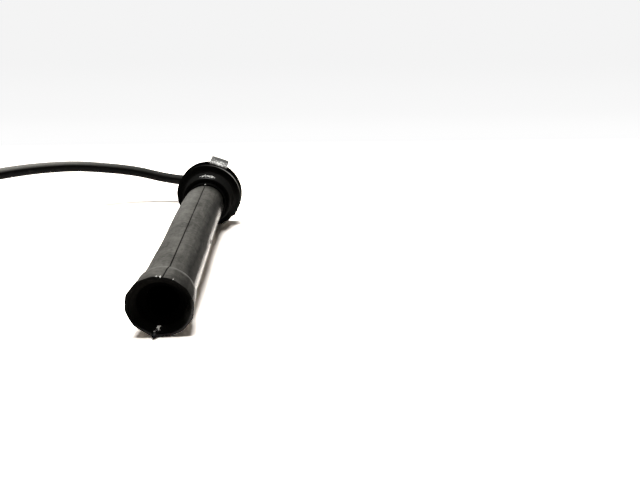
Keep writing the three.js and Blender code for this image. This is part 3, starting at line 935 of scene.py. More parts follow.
@dataclass(frozen=True)
class PlugBoot:
    """The long boot, from its neck in the cap (y = seat) to its mouth (y = -length).

    Attributes:
        lip_turn: how many degrees the lip's flats are turned.
        lip_reach: how far the lip reaches down where it lies on the floor.
        bead: the height, length and inset from the seat of the bead that the cap holds.
        bow: how far the tube bows to the left, by a bell at a place and of a width along it.
        swell: (mm from the cap, mm) stops of how far its left side swells.
        seams: (y, degrees) stops of the seam's angle from the top.
        nub: the nub's y, degrees and height.
        flash: how far the torn flash stands out at the lip's bottom, and how far its tip does along y.
        edge_highlights: the degrees and width in degrees of the painted highlights on the lip's front edge.
        glints: the degrees, width, radius, reach and strength of the painted glints low in the mouth.
    """

    length: float = 136.2
    radius: float = 10.45
    lip_sides: int = 12
    lip_length: float = 10.9
    lip_front: float = 12.2
    lip_back: float = 11.1
    lip_turn: float = 10.0
    lip_reach: float = 12.6
    lip_corner: float = 0.12
    lip_step: float = 0.7
    edge: float = 0.45
    rim_width: float = 1.45
    funnel_length: float = 5.2
    funnel_step: float = 8.7
    funnel_depth: float = 2.6
    funnel_rib: float = 0.35
    bore: float = 6.2
    plug_depth: float = 37.0
    chamber: float = 5.1
    chamber_length: float = 22.7
    chamber_play: float = 0.4
    seat: float = 4.0
    bead: Corner = (1.1, 2.2, 1.4)
    bow: Corner = (0.55, -50.0, 27.0)
    swell: Stops = ((14.6, 0.0), (17.5, 1.3), (26.0, 1.3), (88.0, 0.0))
    seam_depth: float = 0.3
    seam_width: float = 0.17
    seams: Stops = ((-137.0, 11.0), (-127.0, 10.7), (-125.2, 12.3), (20.0, -1.5))
    nub: Corner = (-73.7, 91.4, 0.45)
    flash: tuple[float, float] = (0.45, 1.8)
    flash_turn: float = 184.0
    edge_highlights: Stops = ((0.6, 2.3), (6.8, 2.1), (28.5, 1.2))
    glints: tuple[tuple[float, ...], ...] = (
        (191.0, 1.2, 9.3, 0.5, 1.0), (189.5, 0.7, 10.3, 0.4, 0.85), (193.0, 1.3, 11.1, 0.55, 1.0),
        (181.0, 0.6, 10.2, 0.9, 0.6), (207.0, 0.4, 11.0, 0.4, 1.0),
    )

    @property
    def mouth(self) -> float:
        """Where the mouth lies along the axis."""
        return -self.length

    @property
    def lip_end(self) -> float:
        """Where the lip ends along the axis."""
        return self.mouth + self.lip_length

    def corners(self) -> list[Corner]:
        """The boot's closed outline.

        Returns:
            Its corners from the cable's bore round the mouth to the seat in the cap.
        """
        mouth = self.mouth
        ratio = 1.0 / np.cos(np.pi / self.lip_sides)
        rim = self.lip_front - self.rim_width
        room = mouth + self.plug_depth - self.chamber_play
        chamber_end = room + self.chamber_length + self.chamber_play
        shoulder = self.bore - self.chamber
        bead_height, bead_length, bead_inset = self.bead
        bead_end = self.seat - bead_inset
        rib_y = mouth + (self.funnel_depth + self.edge) / 2.0
        rib_r = (rim + self.funnel_step) / 2.0
        return [
            (CABLE_BORE, self.seat, 0.0), (CABLE_BORE, chamber_end, 0.0),
            (self.chamber, chamber_end, 0.0), (self.chamber, room, 0.2),
            (self.bore, room - shoulder, 0.4), (self.bore, mouth + self.funnel_length, 1.0),
            (self.funnel_step, mouth + self.funnel_depth, 0.15),
            (self.funnel_step + self.funnel_rib, mouth + self.funnel_depth - self.funnel_rib, 0.15),
            (rib_r, rib_y, 0.15), (rib_r + self.funnel_rib, rib_y - self.funnel_rib, 0.15),
            (rim, mouth + self.edge, 0.25), (rim + self.edge, mouth, 0.25),
            (self.lip_front * ratio - self.lip_corner, mouth, self.edge),
            (self.lip_back * ratio - self.lip_corner, self.lip_end, self.edge),
            (self.radius, self.lip_end + self.lip_step, 0.3), (self.radius, bead_end - bead_length, 0.0),
            (self.radius + bead_height, bead_end - bead_length, self.edge),
            (self.radius + bead_height, bead_end, self.edge),
            (self.radius, bead_end, 0.0), (self.radius, self.seat, 0.3),
        ]

    def flats(self, skin: Skin) -> Array:
        """The lip's flats: half width over cos of the angle from the nearest flat's middle, none behind it.

        Args:
            skin: the boot's skin.

        Returns:
            How far out the flats let it reach.
        """
        half = between_stops(skin.along, ((self.mouth, self.lip_front), (self.lip_end, self.lip_back)))
        step = TURN / self.lip_sides
        off_middle = (skin.angle - np.radians(self.lip_turn) + step / 2.0) % step - step / 2.0
        return half / np.cos(off_middle) + 3.0 * ease(skin.along, self.lip_end - 0.4, self.lip_end + 0.2)

    def shape(self, skin: Skin) -> Zones:
        """Trims the skin by the flats, cuts the seams and adds the bow, the swell, the nub and the torn flash.

        The grooves are bells across the seams. The bow is a bell along the tube times the share that faces
        left. The flash rises to its middle in a straight line and its tip is a bell along y.

        Args:
            skin: the boot's skin, which is changed.

        Returns:
            Where things lie on it.
        """
        mouth, along, angle = self.mouth, skin.along, skin.angle
        radius = soft_min(skin.radius, self.flats(skin), 0.25)
        outside = ease(radius, self.radius - 0.4, self.radius - 0.2) * (along < -10.0)
        off_bottom = skin.turn - HALF_TURN
        top, bottom = radius * np.abs(skin.off_top), radius * np.abs(off_bottom)
        groove = hill(top, 0.0, self.seam_width) * (1.0 + 0.3 * ripple(along * 0.31, along * 0.07, 2.0))
        radius = radius - outside * self.seam_depth * (groove + 0.6 * hill(bottom, 0.0, self.seam_width))
        radius = radius + outside * 0.035 * ripple(along * 0.11, angle * 4.0, 1.0)
        leftward = -np.sin(angle)
        bow, bow_y, bow_width = self.bow
        swell = between_stops(-along, self.swell) * np.clip(leftward, 0.0, 1.0)
        radius = radius + outside * (bow * hill(along, bow_y, bow_width) * leftward + swell)
        funnel = ease(along, mouth - 0.1, mouth + 0.3) * fall(along, mouth + 4.0, mouth + 6.0)
        inside = (radius < self.lip_front - self.rim_width + 0.3) * funnel
        torn = hill(bottom, 0.0, 0.5) * (1.0 + 0.5 * ripple(along * 3.0, angle * 9.0, 0.4))
        radius = radius - inside * 0.35 * torn
        off_tip = np.abs(off_bottom - np.radians(self.flash_turn - 180.0))
        on_edge = ease(radius, self.lip_front - 1.3, self.lip_front - 0.5)
        flash = np.clip(1.0 - np.degrees(off_tip) / 17.0, 0.0, 1.0) * fall(along, mouth + 1.0, mouth + 6.0)
        front = fall(along, mouth + 0.1, mouth + 0.5)
        flash_height, flash_tip = self.flash
        radius = radius + on_edge * (along < mouth + 7.0) * flash_height * flash
        along = along - front * flash_tip * hill(radius * off_tip, 0.0, 0.75) * on_edge
        nub_y, nub_turn, nub_height = self.nub
        nub = hill(along, nub_y, 2.2) * hill(radius * (angle - np.radians(nub_turn)), 0.0, 0.45)
        skin.radius, skin.along = radius + outside * nub_height * ease(nub, 0.25, 0.7), along
        return Zones(outside, inside, nub, top, bottom)

    def shade(self, skin: Skin, zones: Zones) -> Array:
        """The boot's painted shade and painted light: the darkest of its painted shades, less a painted highlight on
        the lip's back edge, painted light on the tube's left next to the cap and a pale patch.

        Args:
            skin: the boot's skin.
            zones: where things lie on it.

        Returns:
            Numbers from -1, pale, to 1, black.
        """
        mouth, lip_end, outside = self.mouth, self.lip_end, zones.outside
        radius, along, depth, degrees = skin.radius, skin.along, -skin.along, skin.degrees
        # Painted shade: the seam's groove, the mouth's face, the bore and the funnel are darkened, and a painted
        # shadow of the cap lies on the tube next to it.
        seam = outside * np.clip(1.3 * hill(zones.top, 0.0, 0.24) + 0.5 * hill(zones.bottom, 0.0, 0.2), 0.0, 1.0)
        face_shade = (0.94 - 0.08 * hill(degrees, 100.0, 40.0)) * fall(along, mouth + 0.05, mouth + 0.35)
        hollow_shade = fall(radius, self.radius - 1.5, self.radius - 0.7)
        cone_shade = 0.95 * (radius < self.lip_front - 0.9) * fall(along, mouth + 3.2, mouth + 4.5)
        cap_shadow = 0.72 * fall(depth, 12.0, 25.0) * (0.4 + 0.6 * ease(degrees, -25.0, 20.0))
        cap_shadow = np.maximum(cap_shadow, 0.9 * fall(depth, 26.0, 33.0) * ease(degrees, 62.0, 78.0))
        # Painted shade on the tube right of the seam, and on the lip, most on its right side.
        right_half_shade = 0.07 * outside * ease(skin.off_top, 0.0, 0.06) * (skin.off_top < 2.0)
        on_lip = outside * fall(along, lip_end - 0.6, lip_end)
        lip_shade = on_lip * (0.12 + 0.14 * fall(along, mouth + 1.0, mouth + 7.0) + 0.26 * ease(degrees, 8.0, 55.0))
        shade = np.max([0.95 * seam, face_shade, hollow_shade, cone_shade, cap_shadow, lip_shade, right_half_shade], axis=0)
        # A painted highlight on the lip's back edge; painted light on the tube's left next to the cap, and a pale
        # patch.
        back_edge_highlight = hill(along, lip_end - 0.3, 0.6) * (0.12 + 0.2 * hill(degrees, 75.0, 35.0))
        patch_and_painted_light = 0.1 * hill(degrees, 58.0, 9.0) * hill(along, -21.0, 3.0)
        patch_and_painted_light = patch_and_painted_light + 0.12 * ease(-degrees, -2.0, 20.0) * ease(depth, 14.0, 20.0) * fall(depth, 40.0, 95.0)
        shade = shade * (1.0 - ease(outside * back_edge_highlight, 0.0, 0.1) * (1.0 - seam)) - outside * (back_edge_highlight + patch_and_painted_light)
        # The nub is darkened nearly to black.
        return shade + (0.97 - shade) * outside * ease(zones.nub, 0.15, 0.5)

    def painted_highlights(self, skin: Skin, zones: Zones) -> Array:
        """The painted highlights on the lip's front edge and the painted glints low in the mouth, each a bell both
        ways.

        Args:
            skin: the boot's skin.
            zones: where things lie on it.

        Returns:
            Numbers from 0 to 1.
        """
        degrees = skin.degrees
        on_edge = hill(skin.along, self.mouth + 0.8, 1.0) * (skin.radius > self.lip_front - 0.5)
        # Painted highlights: pale spots on the lip's front edge and glints low in the mouth.
        spots = sum(0.95 * hill(degrees, centre, width) for centre, width in self.edge_highlights) * on_edge
        glints = sum(
            strength * hill(skin.radius * np.radians(degrees % 360.0 - centre), 0.0, width)
            * hill(skin.radius, radius, reach)
            for centre, width, radius, reach, strength in self.glints
        )
        return np.clip(zones.outside * spots + zones.inside * glints, 0.0, 1.0)

    def shell(self) -> Shell:
        """The moulding: its outline turned round y on a grid that follows the seam, so that a column lies in it.

        Returns:
            The shell in the boot's own axes.
        """
        turn = angles_round(208, (0.0, HALF_TURN), 0.07, 9)
        skin = Skin.turned(closed_outline(self.corners()), turn, self.seams)
        zones = self.shape(skin)
        shade = self.shade(skin, zones)
        return skin.shell(shade, np.zeros_like(shade), self.painted_highlights(skin, zones))

    def build(self, bench: Bench, place: Place) -> None:
        """Makes the boot and finishes what is in it.

        Args:
            bench: makes pieces.
            place: where the boot's axes lie.
        """
        bench.piece("plug_boot_moulding", self.shell().mapped(place.world), BOOT_RUBBER, "plug_boot")
        bench.refinish("plug_terminal", PLATED_STEEL)
        bench.refinish("plug_snap_ring", SPRING_STEEL)
        bench.refinish("cable_in_boot", JACKET_INSIDE)


@dataclass(frozen=True)
class WellCap:
    """The cap that closes the plug well: sleeve, collar, two rims, neck and pull tab.

    Attributes:
        neck_rings: the rings' count, first place behind the back rim and pitch.
        torn_rim: the degrees, width and height of each bell of the torn edge low on the front rim's right.
        tab_turn: how many degrees the tab stands from the top.
    """

    sleeve_wall: float = 0.6
    sleeve_reach: float = 14.5
    recess_width: float = 0.7
    recess_depth: float = 2.0
    collar_reach: float = 10.4
    collar_front: float = 13.95
    collar_back: float = 14.8
    collar_edge: float = 0.8
    front_rim: float = 19.1
    groove: float = 17.2
    back_rim: float = 19.3
    rim_width: float = 3.2
    rim_edge: float = 0.45
    neck_base: float = 9.0
    neck_wall: float = 2.2
    neck_length: float = 10.4
    neck_rings: tuple[int, float, float] = (3, 3.6, 2.2)
    torn_rim: tuple[Corner, ...] = (
        (106, 1.4, 0.5), (116, 2.0, -0.3), (122, 1.2, 0.4), (130, 1.6, 0.8),
        (138, 1.8, -0.45), (148, 1.5, 0.6), (154, 1.2, -0.3), (161, 2.0, 0.4),
    )
    tab_turn: float = 19.5
    tab_width: float = 10.4
    tab_front: float = 3.6
    tab_run: float = 7.0
    tab_rise: float = 2.2
    tab_thickness: float = 2.0
    tab_bead: float = 1.1
    boot: PlugBoot = field(default_factory=PlugBoot)

    @property
    def back(self) -> float:
        """Where the back rim ends along the axis."""
        return 3.0 * self.rim_width

    @property
    def end(self) -> float:
        """Where the neck ends along the axis."""
        return self.back + self.neck_length

    def corners(self) -> list[Corner]:
        """The cap's closed outline.

        Returns:
            Its corners from the sleeve's front edge over the rims to the neck and back inside.
        """
        seat = self.boot.radius + FIT_GAP
        sleeve = seat + self.sleeve_wall
        recess = sleeve + self.recess_width
        floor = self.recess_depth - self.collar_reach
        bead_height, bead_length, bead_inset = self.boot.bead
        bead_end = self.boot.seat - bead_inset + FIT_GAP
        bead_start = bead_end - bead_length - 2.0 * FIT_GAP
        inner = self.boot.seat + FIT_GAP
        edge = self.rim_edge
        return [
            (sleeve, -self.sleeve_reach, 0.25), (sleeve, floor, 0.1), (recess, floor, 0.1),
            (recess, -self.collar_reach, 0.25), (self.collar_front, -self.collar_reach, self.collar_edge),
            (self.collar_back, 0.0, 0.3), (self.front_rim, 0.0, edge), (self.front_rim, self.rim_width, edge),
            (self.groove, self.rim_width, 0.3), (self.groove, 2.0 * self.rim_width, 0.3),
            (self.back_rim, 2.0 * self.rim_width, edge), (self.back_rim, self.back, edge),
            (self.neck_base, self.back, 0.6), (CABLE_BORE + self.neck_wall, self.end, 0.5),
            (CABLE_BORE, self.end, 0.1), (CABLE_BORE, inner, 0.0), (seat, inner, 0.0), (seat, bead_end, 0.0),
            (seat + bead_height, bead_end, 0.2), (seat + bead_height, bead_start, 0.2),
            (seat, bead_start, 0.0), (seat, -self.sleeve_reach, 0.1),
        ]

    def body(self) -> Shell:
        """The turned part, with a torn edge on the front rim, rings round the neck, a painted highlight on the
        collar's top and painted highlights on the front rim's edge and the sleeve's front.

        The torn edge is a sum of bells in angle, and each neck ring is a shallow bell along the axis.

        Returns:
            The shell in the boot's own axes.
        """
        skin = Skin.turned(closed_outline(self.corners(), spacing=1.4), angles_round(256))
        degrees = np.degrees(skin.angle)
        on_rim = ease(skin.radius, self.front_rim - 0.9, self.front_rim - 0.2)
        torn = sum(height * hill(degrees, centre, width) for centre, width, height in self.torn_rim)
        skin.radius = skin.radius + on_rim * fall(skin.along, 1.2, 2.8) * torn
        past = ease(skin.along, self.back + 2.0, self.back + 2.5) * (skin.radius > CABLE_RADIUS + 1.0)
        count, first, pitch = self.neck_rings
        rings = sum(hill(skin.along, self.back + first + pitch * i, 0.45) for i in range(count))
        radius = skin.radius = skin.radius - past * 0.35 * rings
        off_top = (degrees + 180.0) % 360.0 - 180.0
        on_collar = ease(radius, self.collar_front - 0.6, self.collar_front - 0.2)
        on_collar = on_collar * (skin.along < 0.2) * (radius < 16.0)
        # Painted highlights: a pale glossy patch on the collar's top, a pale spot on the sleeve's front and a pale
        # line on the front rim's upper right edge; the collar is a little paler.
        patch = on_collar * hill(skin.along, -6.6, 3.0) * ease(off_top, -22.0, -6.0) * fall(off_top, 12.0, 30.0)
        on_sleeve = (radius > 11.1) * (radius < 12.0) * hill(skin.along, -self.sleeve_reach, 0.8)
        sleeve_highlight = 1.6 * on_sleeve * hill(off_top, 2.5, 2.5)
        rim_highlight = (radius > self.front_rim - 0.36) * hill(skin.along, 0.16, 0.17) * hill(off_top, 49.0, 30.0)
        return skin.shell(-0.9 * rim_highlight - 0.012 * on_collar, 0.6 * patch, np.clip(0.72 * patch + sleeve_highlight, 0.0, 1.0))

    def tab(self) -> Shell:
        """The pull tab: its ramp's outline carried across, drawn in a little at both sides.

        Returns:
            The shell in the boot's own axes.
        """
        root = self.groove - self.tab_thickness
        end = self.tab_front + self.tab_run
        foot = self.front_rim + FIT_GAP
        top = foot + self.tab_rise
        bead = self.tab_bead
        back = self.back - self.rim_edge
        outline = closed_outline([
            (self.tab_front, root, 0.3), (back, root, 0.3),
            (back, top - self.tab_thickness - self.tab_rise, 0.8),
            (end + bead, top - 2.0 * bead, bead), (end + bead, top + bead / 2.0, bead),
            (end - bead, top + 0.1, 0.4), (end - 2.2 * bead, top - 0.75, 0.4),
            (self.tab_front, foot, 0.5),
        ], spacing=0.6)
        half = self.tab_width / 2.0
        across = np.concatenate([[-half, -half + 0.15, -half + 0.5], np.linspace(-half + 1.0, half - 1.0, 15),
                                 [half - 0.5, half - 0.15, half]])
        draw = 1.0 - 0.07 * ease(np.abs(across), half - 0.5, half)
        centre = outline.mean(0)
        section = centre + (outline - centre)[None] * draw[:, None, None]
        along = section[..., 0]
        height = section[..., 1] + 0.06 * ripple(across[:, None] * 1.3, along * 1.1, 3.0)
        across = np.broadcast_to(across[:, None], height.shape)
        cos, sin = np.cos(np.radians(self.tab_turn)), np.sin(np.radians(self.tab_turn))
        grid = np.stack([across * cos + height * sin, along, height * cos - across * sin], -1)
        # A painted highlight on the tab's front; the whole tab is paler and flecked, less on its bead.
        gleam = hill(along, self.tab_front + 1.4, 2.0) * hill(across, 0.3, 2.4)
        on_bead = ease(along, end - 3.2, end - 1.8)
        worn_and_lit = -(0.34 + 0.55 * gleam - 0.2 * on_bead)
        marks = np.stack([worn_and_lit, np.full_like(worn_and_lit, 0.2), 0.5 + 0.25 * gleam - 0.2 * on_bead], -1)
        return Shell.from_grid(grid, marks)

    def build(self, bench: Bench, place: Place) -> None:
        """Makes the cap as one moulding, its axes lying at the place."""
        shell = self.body().mapped(place.world).joined(self.tab().mapped(place.world))
        bench.piece("well_cap_moulding", shell, CAP_RUBBER, "well_cap")


@dataclass(frozen=True)
class CoilBoot:
    """The short boot for the ignition coil's tower, from its mouth (y = 0) to its neck."""

    length: float = 44.0
    mouth_radius: float = 9.6
    mouth_length: float = 9.0
    body_radius: float = 8.5
    body_length: float = 30.0
    neck_wall: float = 1.9
    tower_bore: float = 6.6
    tower_depth: float = 16.0
    chamber: float = 5.1
    chamber_length: float = 22.7
    chamber_play: float = 0.4
    edge: float = 0.6
    grip_rings: tuple[int, float, float] = (4, 5.0, 3.6)
    grip_depth: float = 0.45
    seam_depth: float = 0.16

    @property
    def neck(self) -> float:
        """The neck's radius."""
        return CABLE_BORE + self.neck_wall

    def place(self) -> Place:
        """Where it lies: on its mouth's rim and its body's shoulder, read off its CAD node's box.

        Returns:
            The place.
        """
        tilt = np.arctan2(self.mouth_radius - self.body_radius, self.body_length - self.mouth_length)
        low, high = (np.array(corner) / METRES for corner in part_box("coil_boot"))
        top = high[2] + self.edge * np.sin(tilt) - self.mouth_radius * np.cos(tilt)
        neck_y = high[1] - (self.neck - self.edge) * np.sin(tilt)
        return Place(-tilt, (low[0] + high[0]) / 2.0, neck_y - self.length * np.cos(tilt), top)

    def corners(self) -> list[Corner]:
        """The boot's closed outline.

        Returns:
            Its corners from the cable's bore round the mouth to the neck.
        """
        neck, edge = self.neck, self.edge
        room = self.tower_depth - self.chamber_play
        end = room + self.chamber_length + self.chamber_play
        shoulder = self.tower_bore - self.chamber
        return [
            (CABLE_BORE, self.length, 0.2), (CABLE_BORE, end, 0.0), (self.chamber, end, 0.0),
            (self.chamber, room, 0.2), (self.tower_bore, room - shoulder, 0.4), (self.tower_bore, 0.0, edge),
            (self.mouth_radius, 0.0, edge), (self.mouth_radius, self.mouth_length, edge),
            (self.body_radius, self.mouth_length, edge), (self.body_radius, self.body_length, 2.0 * edge),
            (neck, self.body_length + self.body_radius - neck, 2.0 * edge), (neck, self.length, edge),
        ]

    def shell(self) -> Shell:
        """The moulding: its outline turned round y, with grip rings cut in the body and seams at both sides.

        Returns:
            The shell in the boot's own axes.
        """
        seams = (np.pi / 2.0, 1.5 * np.pi)
        skin = Skin.turned(closed_outline(self.corners(), spacing=0.6), angles_round(128, seams, 0.08, 7))
        outside = ease(skin.radius, self.body_radius - 0.5, self.body_radius - 0.2)
        count, first, pitch = self.grip_rings
        rings = sum(hill(skin.along, self.mouth_length + first + pitch * i, 0.6) for i in range(count))
        skin.radius = skin.radius - outside * (skin.along > self.mouth_length + 1.0) * self.grip_depth * rings
        near = np.minimum(np.abs(skin.angle - seams[0]), np.abs(skin.angle - seams[1]))
        on_skin = ease(skin.radius, CABLE_BORE + 1.0, CABLE_BORE + 1.5) * (skin.along > 1.0)
        on_neck = on_skin * (skin.along > self.body_length + 3.0)
        seam = hill(skin.radius * near, 0.0, 0.18) * np.maximum(outside, on_neck)
        skin.radius = skin.radius - self.seam_depth * seam
        # Painted shade: the seams' grooves and the bore are darkened; pale flecks lie in the grip rings.
        return skin.shell(np.maximum(0.8 * seam, 1.0 - on_skin), np.zeros_like(seam), 0.3 * outside * rings)

    def build(self, bench: Bench) -> bpy.types.Object:
        """Makes the boot and finishes the terminal in it.

        Args:
            bench: makes pieces.

        Returns:
            The boot.
        """
        shell = self.shell().mapped(self.place().world)
        made = bench.piece("coil_boot_moulding", shell, BOOT_RUBBER, "coil_boot")
        bench.refinish("coil_terminal", PLATED_STEEL)
        bench.refinish("coil_snap_ring", SPRING_STEEL)
        return made


@dataclass(frozen=True)
class LeadCable:
    """The free cable: out of the cap, back and to the left, once round and a little more, into the coil boot.

    The route's x and y are from the neck's exit and its z is above the floor; the coil's heights are
    (degrees round, height) stops, and the tail's are (y from the coil's middle, z).
    """

    exit: Array
    route: tuple[Corner, ...] = (
        (-0.3, 8.0, 20.2), (-3.5, 19.0, 19.3), (-10.5, 29.5, 17.4), (-22.0, 37.2, 16.1), (-39.9, 42.0, 17.8),
        (-58.9, 41.9, 22.4), (-77.6, 37.2, 26.1), (-94.7, 28.6, 29.2), (-109.4, 16.1, 30.9), (-122.5, 1.5, 31.6),
        (-135.2, -13.4, 30.9), (-145.2, -25.2, 28.6), (-155.0, -37.2, 25.0), (-164.4, -49.0, 21.0),
        (-174.1, -59.2, 17.3),
    )
    coil_centre: tuple[float, float] = (-154.8, -90.9)
    coil_radius: float = 35.0
    coil_turns: Corner = (160.0, 540.0, 20.0)
    coil_heights: Stops = (
        (140.0, 15.1), (152.0, 13.4), (165.0, 12.3), (185.0, 11.7), (215.0, 8.6), (245.0, 4.7),
        (262.0, 3.6), (300.0, 3.5), (480.0, 3.5), (505.0, 4.3), (525.0, 4.9), (540.0, 5.0),
    )
    tail: Stops = ((-8.0, 5.6),)
    tail_lead: tuple[float, ...] = (12.0, 6.0, 0.0, -8.0, -16.4)
    sides: int = 32
    spacing: float = 1.5

    @property
    def middle(self) -> Array:
        """The coil's middle, x and y."""
        return self.exit[:2] + np.array(self.coil_centre)

    def turns(self) -> Array:
        """The coil: x = cx + r cos(turn), y = cy + r sin(turn), at its height, in even steps of turn.

        Returns:
            The coil's points in the row's frame.
        """
        start, end, step = self.coil_turns
        turn = np.arange(start, end + 0.1, step)
        angle = np.radians(turn)
        x, y = self.middle
        return np.stack([x + self.coil_radius * np.cos(angle), y + self.coil_radius * np.sin(angle),
                         between_stops(turn, self.coil_heights)], -1)

    def path(self, boot: CoilBoot) -> Array:
        """The whole centreline.

        Args:
            boot: the far boot, whose axis the tail follows in.

        Returns:
            The points in the row's frame, in millimetres.
        """
        route = np.array(self.route) + np.array([self.exit[0], self.exit[1], 0.0])
        turns = self.turns()
        tail = [(turns[-1, 0], self.middle[1] + y, z) for y, z in self.tail]
        lead = boot.place().world(np.array([(0.0, boot.length + run, 0.0) for run in self.tail_lead]))
        return smooth_path(np.vstack([self.exit[None], route, turns, tail, lead]), self.spacing)

    def build(self, bench: Bench, boot: CoilBoot, tie: "CoilTie") -> None:
        """Args:
            bench: makes pieces.
            boot: the far boot.
            tie: the tie round the coil.
        """
        path = self.path(boot)
        grid, lay = tube(path, CABLE_RADIUS, self.sides, 0.1)
        made = bench.piece("lead_cable", Shell.from_grid(grid, lay=lay), JACKET, "cable", "cable_coil", "cable_tail")
        on_it = [boot.build(bench), tie.build(bench, self), "coil_terminal", "coil_snap_ring"]


@dataclass(frozen=True)
class CoilTie:
    """The tie round the coil where its two turns lie on each other.

    Attributes:
        turn: where on the coil it sits, in degrees.
        play: the gap to the cable.
        head: how deep, wide and tall its head is.
        rise: how far the head reaches above the upper turn's middle.
    """

    turn: float = 172.0
    width: float = 5.0
    thickness: float = 1.2
    play: float = 0.12
    head: Corner = (3.4, 6.2, 6.0)
    rise: float = 1.6
    edge: float = 0.35

    def strap(self, low: float, high: float) -> Array:
        """A flat section carried round a stadium: two half circles joined by straight sides.

        Args:
            low: the lower cable's height.
            high: the upper cable's height.

        Returns:
            The grid, x outwards from the coil's middle circle, y along the cable, z up.
        """
        reach = CABLE_RADIUS + self.play + self.thickness / 2.0
        turn = np.linspace(0.0, TURN, 96, endpoint=False)
        lean = np.clip(np.sin(turn) * 6.0, -1.0, 1.0)
        middle = (low + high) / 2.0 + lean * (high - low) / 2.0
        corners = rectangle(self.thickness / 2.0, self.width / 2.0, self.edge)
        section = closed_outline(corners, spacing=0.8, arc_points=3)
        out = reach + section[None, :, 0]
        along = np.broadcast_to(section[None, :, 1], (len(turn), len(section)))
        return np.stack([np.cos(turn)[:, None] * out, along, np.sin(turn)[:, None] * out + middle[:, None]], -1)

    def shell(self, low: float, high: float) -> Shell:
        """The strap with its head on the outside and the cut end of the tail above it.

        Args:
            low: the lower cable's height.
            high: the upper cable's height.

        Returns:
            The shell, its middle on the coil's middle circle.
        """
        outer = CABLE_RADIUS + self.play + self.thickness
        deep, wide, tall = self.head
        top = high + self.rise
        inner, half = outer - 0.4, self.width / 2.0 - 0.2
        head = rounded_block((inner, -wide / 2.0, top - tall), (inner + deep, wide / 2.0, top), 0.7)
        tail = rounded_block((outer + 0.7, -half, top - 0.6), (outer + 1.8, half, top + 1.3), 0.3)
        return Shell.from_grid(self.strap(low, high), torus=True).joined(head).joined(tail)

    def build(self, bench: Bench, cable: LeadCable) -> bpy.types.Object:
        """Makes the tie.

        Args:
            bench: makes pieces.
            cable: the cable that it holds.

        Returns:
            The tie.
        """
        high, low = between_stops(np.array([self.turn, self.turn + 360.0]), cable.coil_heights)
        cos, sin = np.cos(np.radians(self.turn)), np.sin(np.radians(self.turn))
        x, y = cable.middle

        def around(points: Array) -> Array:
            """Out by the coil's radius, then turned about its middle to the tie's angle."""
            out, along = points[:, 0] + cable.coil_radius, points[:, 1]
            return np.stack([x + out * cos - along * sin, y + out * sin + along * cos, points[:, 2]], -1)

        return bench.piece("coil_tie_strap", self.shell(low, high).mapped(around), TIE_NYLON, "coil_tie")


# The picture


@dataclass(frozen=True)
class Viewpoint:
    """The photograph's camera: its place in mm, heading and dip in radians, focal length in pixels."""

    place: Corner = (45.33, -242.33, 94.71)
    heading: float = float(np.arctan2(0.0750, 0.9972))
    dip: float = float(np.radians(19.37))
    focal: float = 498.7
    clip: tuple[float, float] = (0.01, 50.0)

    def build(self) -> None:
        """Makes the camera: its back axis is minus forward, its right axis is level."""
        forward = np.array([np.sin(self.heading) * np.cos(self.dip), np.cos(self.heading) * np.cos(self.dip),
                            -np.sin(self.dip)])
        right = np.array([np.cos(self.heading), -np.sin(self.heading), 0.0])
        turn = np.stack([right, np.cross(right, forward), -forward], -1)
        data = bpy.data.cameras.new("photo_view")
        data.sensor_width = SENSOR_WIDTH
        data.lens = self.focal / IMAGE_WIDTH * SENSOR_WIDTH
        data.clip_start, data.clip_end = self.clip
        made = linked("photo_view", data)
        made.matrix_world = Matrix.Translation(np.array(self.place) * METRES) @ Matrix(turn.tolist()).to_4x4()
        bpy.context.scene.camera = made


@dataclass(frozen=True)
class Overhead:
    """The lamp high over the lead: the way to it, its width in degrees, and its light per area."""

    way: Corner = (0.0, 0.02, 1.0)
    width: float = 28.0
    strength: float = 3.3
    colour: Colour = (1.0, 0.995, 0.985)

    def build(self) -> None:
        """Makes the lamp, its z axis along the way to it."""
        data = bpy.data.lights.new("overhead", "SUN")
        data.angle = np.radians(self.width)
        data.energy = self.strength
        data.color = self.colour
        back = unit(np.array(self.way))
        right = unit(np.cross([0.0, 1.0, 0.0], back))
        turn = np.stack([right, np.cross(back, right), back], -1)
        linked("overhead", data).matrix_world = Matrix(turn.tolist()).to_4x4()


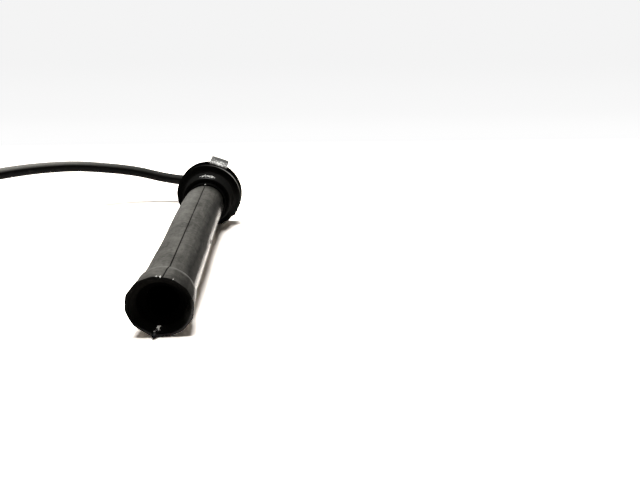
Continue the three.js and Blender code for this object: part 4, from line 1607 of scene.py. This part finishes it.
@dataclass(frozen=True)
class Studio:
    """White paper that sweeps up behind the lead, a wide lamp overhead, and a dim room, brighter on the left.

    Attributes:
        room_seen: the even glow that the camera sees past the paper.
    """

    half_width: float = 3000.0
    front: float = -2600.0
    back: float = 700.0
    sweep: float = 900.0
    wall: float = 2600.0
    room_dim: float = 0.008
    room_bright: float = 0.045
    room_colour: Colour = (1.0, 0.86, 0.73)
    room_seen: Colour = (0.905, 0.905, 0.905)

    def paper(self, bench: Bench) -> None:
        """Makes the paper, which is stage: level, then a quarter circle of the sweep's radius, then upright.

        Args:
            bench: makes materials.
        """
        turn = np.linspace(0.0, np.pi / 2.0, 24)
        along = np.concatenate([[self.front], self.back + self.sweep * np.sin(turn), [self.back + self.sweep]])
        above = np.concatenate([[0.0], self.sweep * (1.0 - np.cos(turn)), [self.sweep + self.wall]])
        rows = np.stack([np.zeros_like(along), along, above], -1) * METRES
        sides = np.array([[-self.half_width, 0.0, 0.0], [self.half_width, 0.0, 0.0]]) * METRES
        points = (rows[:, None] + sides[None]).reshape(-1, 3)
        first = 2 * np.arange(len(rows) - 1)
        mesh = bpy.data.meshes.new("studio_paper")
        mesh.from_pydata(points.tolist(), [], np.stack([first, first + 1, first + 3, first + 2], -1).tolist())
        mesh.shade_smooth()
        mesh.materials.append(bench.material(StudioPaper()))
        linked("studio_paper", mesh)

    def room(self) -> bpy.types.World:
        """The room: dim, rising to its bright level where half z less x of the way there passes 0.9.

        The camera itself sees an even glow there, so that no side of the lead stands against the dark.

        Returns:
            The world.
        """
        graph = Graph(bpy.data.worlds.new("room"))
        way = graph.parts(graph.node("ShaderNodeTexCoord").outputs["Generated"])
        light = self.room_dim + (way[2] * 0.5 - way[0]).eased(0.0, 0.9) * (self.room_bright - self.room_dim)
        back = graph.node("ShaderNodeBackground", None, {"Color": (*self.room_colour, 1.0), "Strength": light})
        glow = graph.node("ShaderNodeBackground", None, {"Color": (*self.room_seen, 1.0)})
        camera = graph.node("ShaderNodeLightPath").outputs["Is Camera Ray"]
        both = graph.node("ShaderNodeMixShader", None, {0: camera, 1: back.outputs[0], 2: glow.outputs[0]})
        return graph.closed(both, "ShaderNodeOutputWorld")

    def build(self, bench: Bench) -> None:
        """Makes the paper, the lamp and the room's light.

        Args:
            bench: makes materials.
        """
        self.paper(bench)
        Overhead().build()
        bpy.context.scene.world = self.room()
        bpy.context.scene.view_settings.view_transform = "Standard"


def plug_end_place(cap: WellCap) -> Place:
    """Where the plug boot's axis lies: lying on lip and rim, its middle over the origin.

    The far end of cable_in_boot is a circle square to the axis, whose lowest point is the farthest along
    Y and whose highest point is the highest of all, so that node's box gives the axis.

    Args:
        cap: the cap, whose neck ends with that circle.

    Returns:
        The place.
    """
    tilt = float(np.arctan2(cap.front_rim - cap.boot.lip_reach, cap.boot.length))
    high = np.array(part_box("cable_in_boot")[1]) / METRES
    y = high[1] - cap.end * np.cos(tilt) - CABLE_RADIUS * np.sin(tilt)
    z = high[2] - cap.end * np.sin(tilt) - CABLE_RADIUS * np.cos(tilt)
    return Place(tilt, 0.0, float(y), float(z))


def main() -> None:
    """Builds the picture and the lead, the camera and the cable first."""
    logging.basicConfig(level=logging.INFO, format="%(name)s %(message)s")
    bench = Bench()
    Viewpoint().build()
    cap = WellCap()
    place = plug_end_place(cap)
    exit_point = place.world(np.array([0.0, cap.end, 0.0]))
    LeadCable(exit_point).build(bench, CoilBoot(), CoilTie())
    cap.boot.build(bench, place)
    cap.build(bench, place)
    Studio().build(bench)


if __name__ == "__main__":
    main()
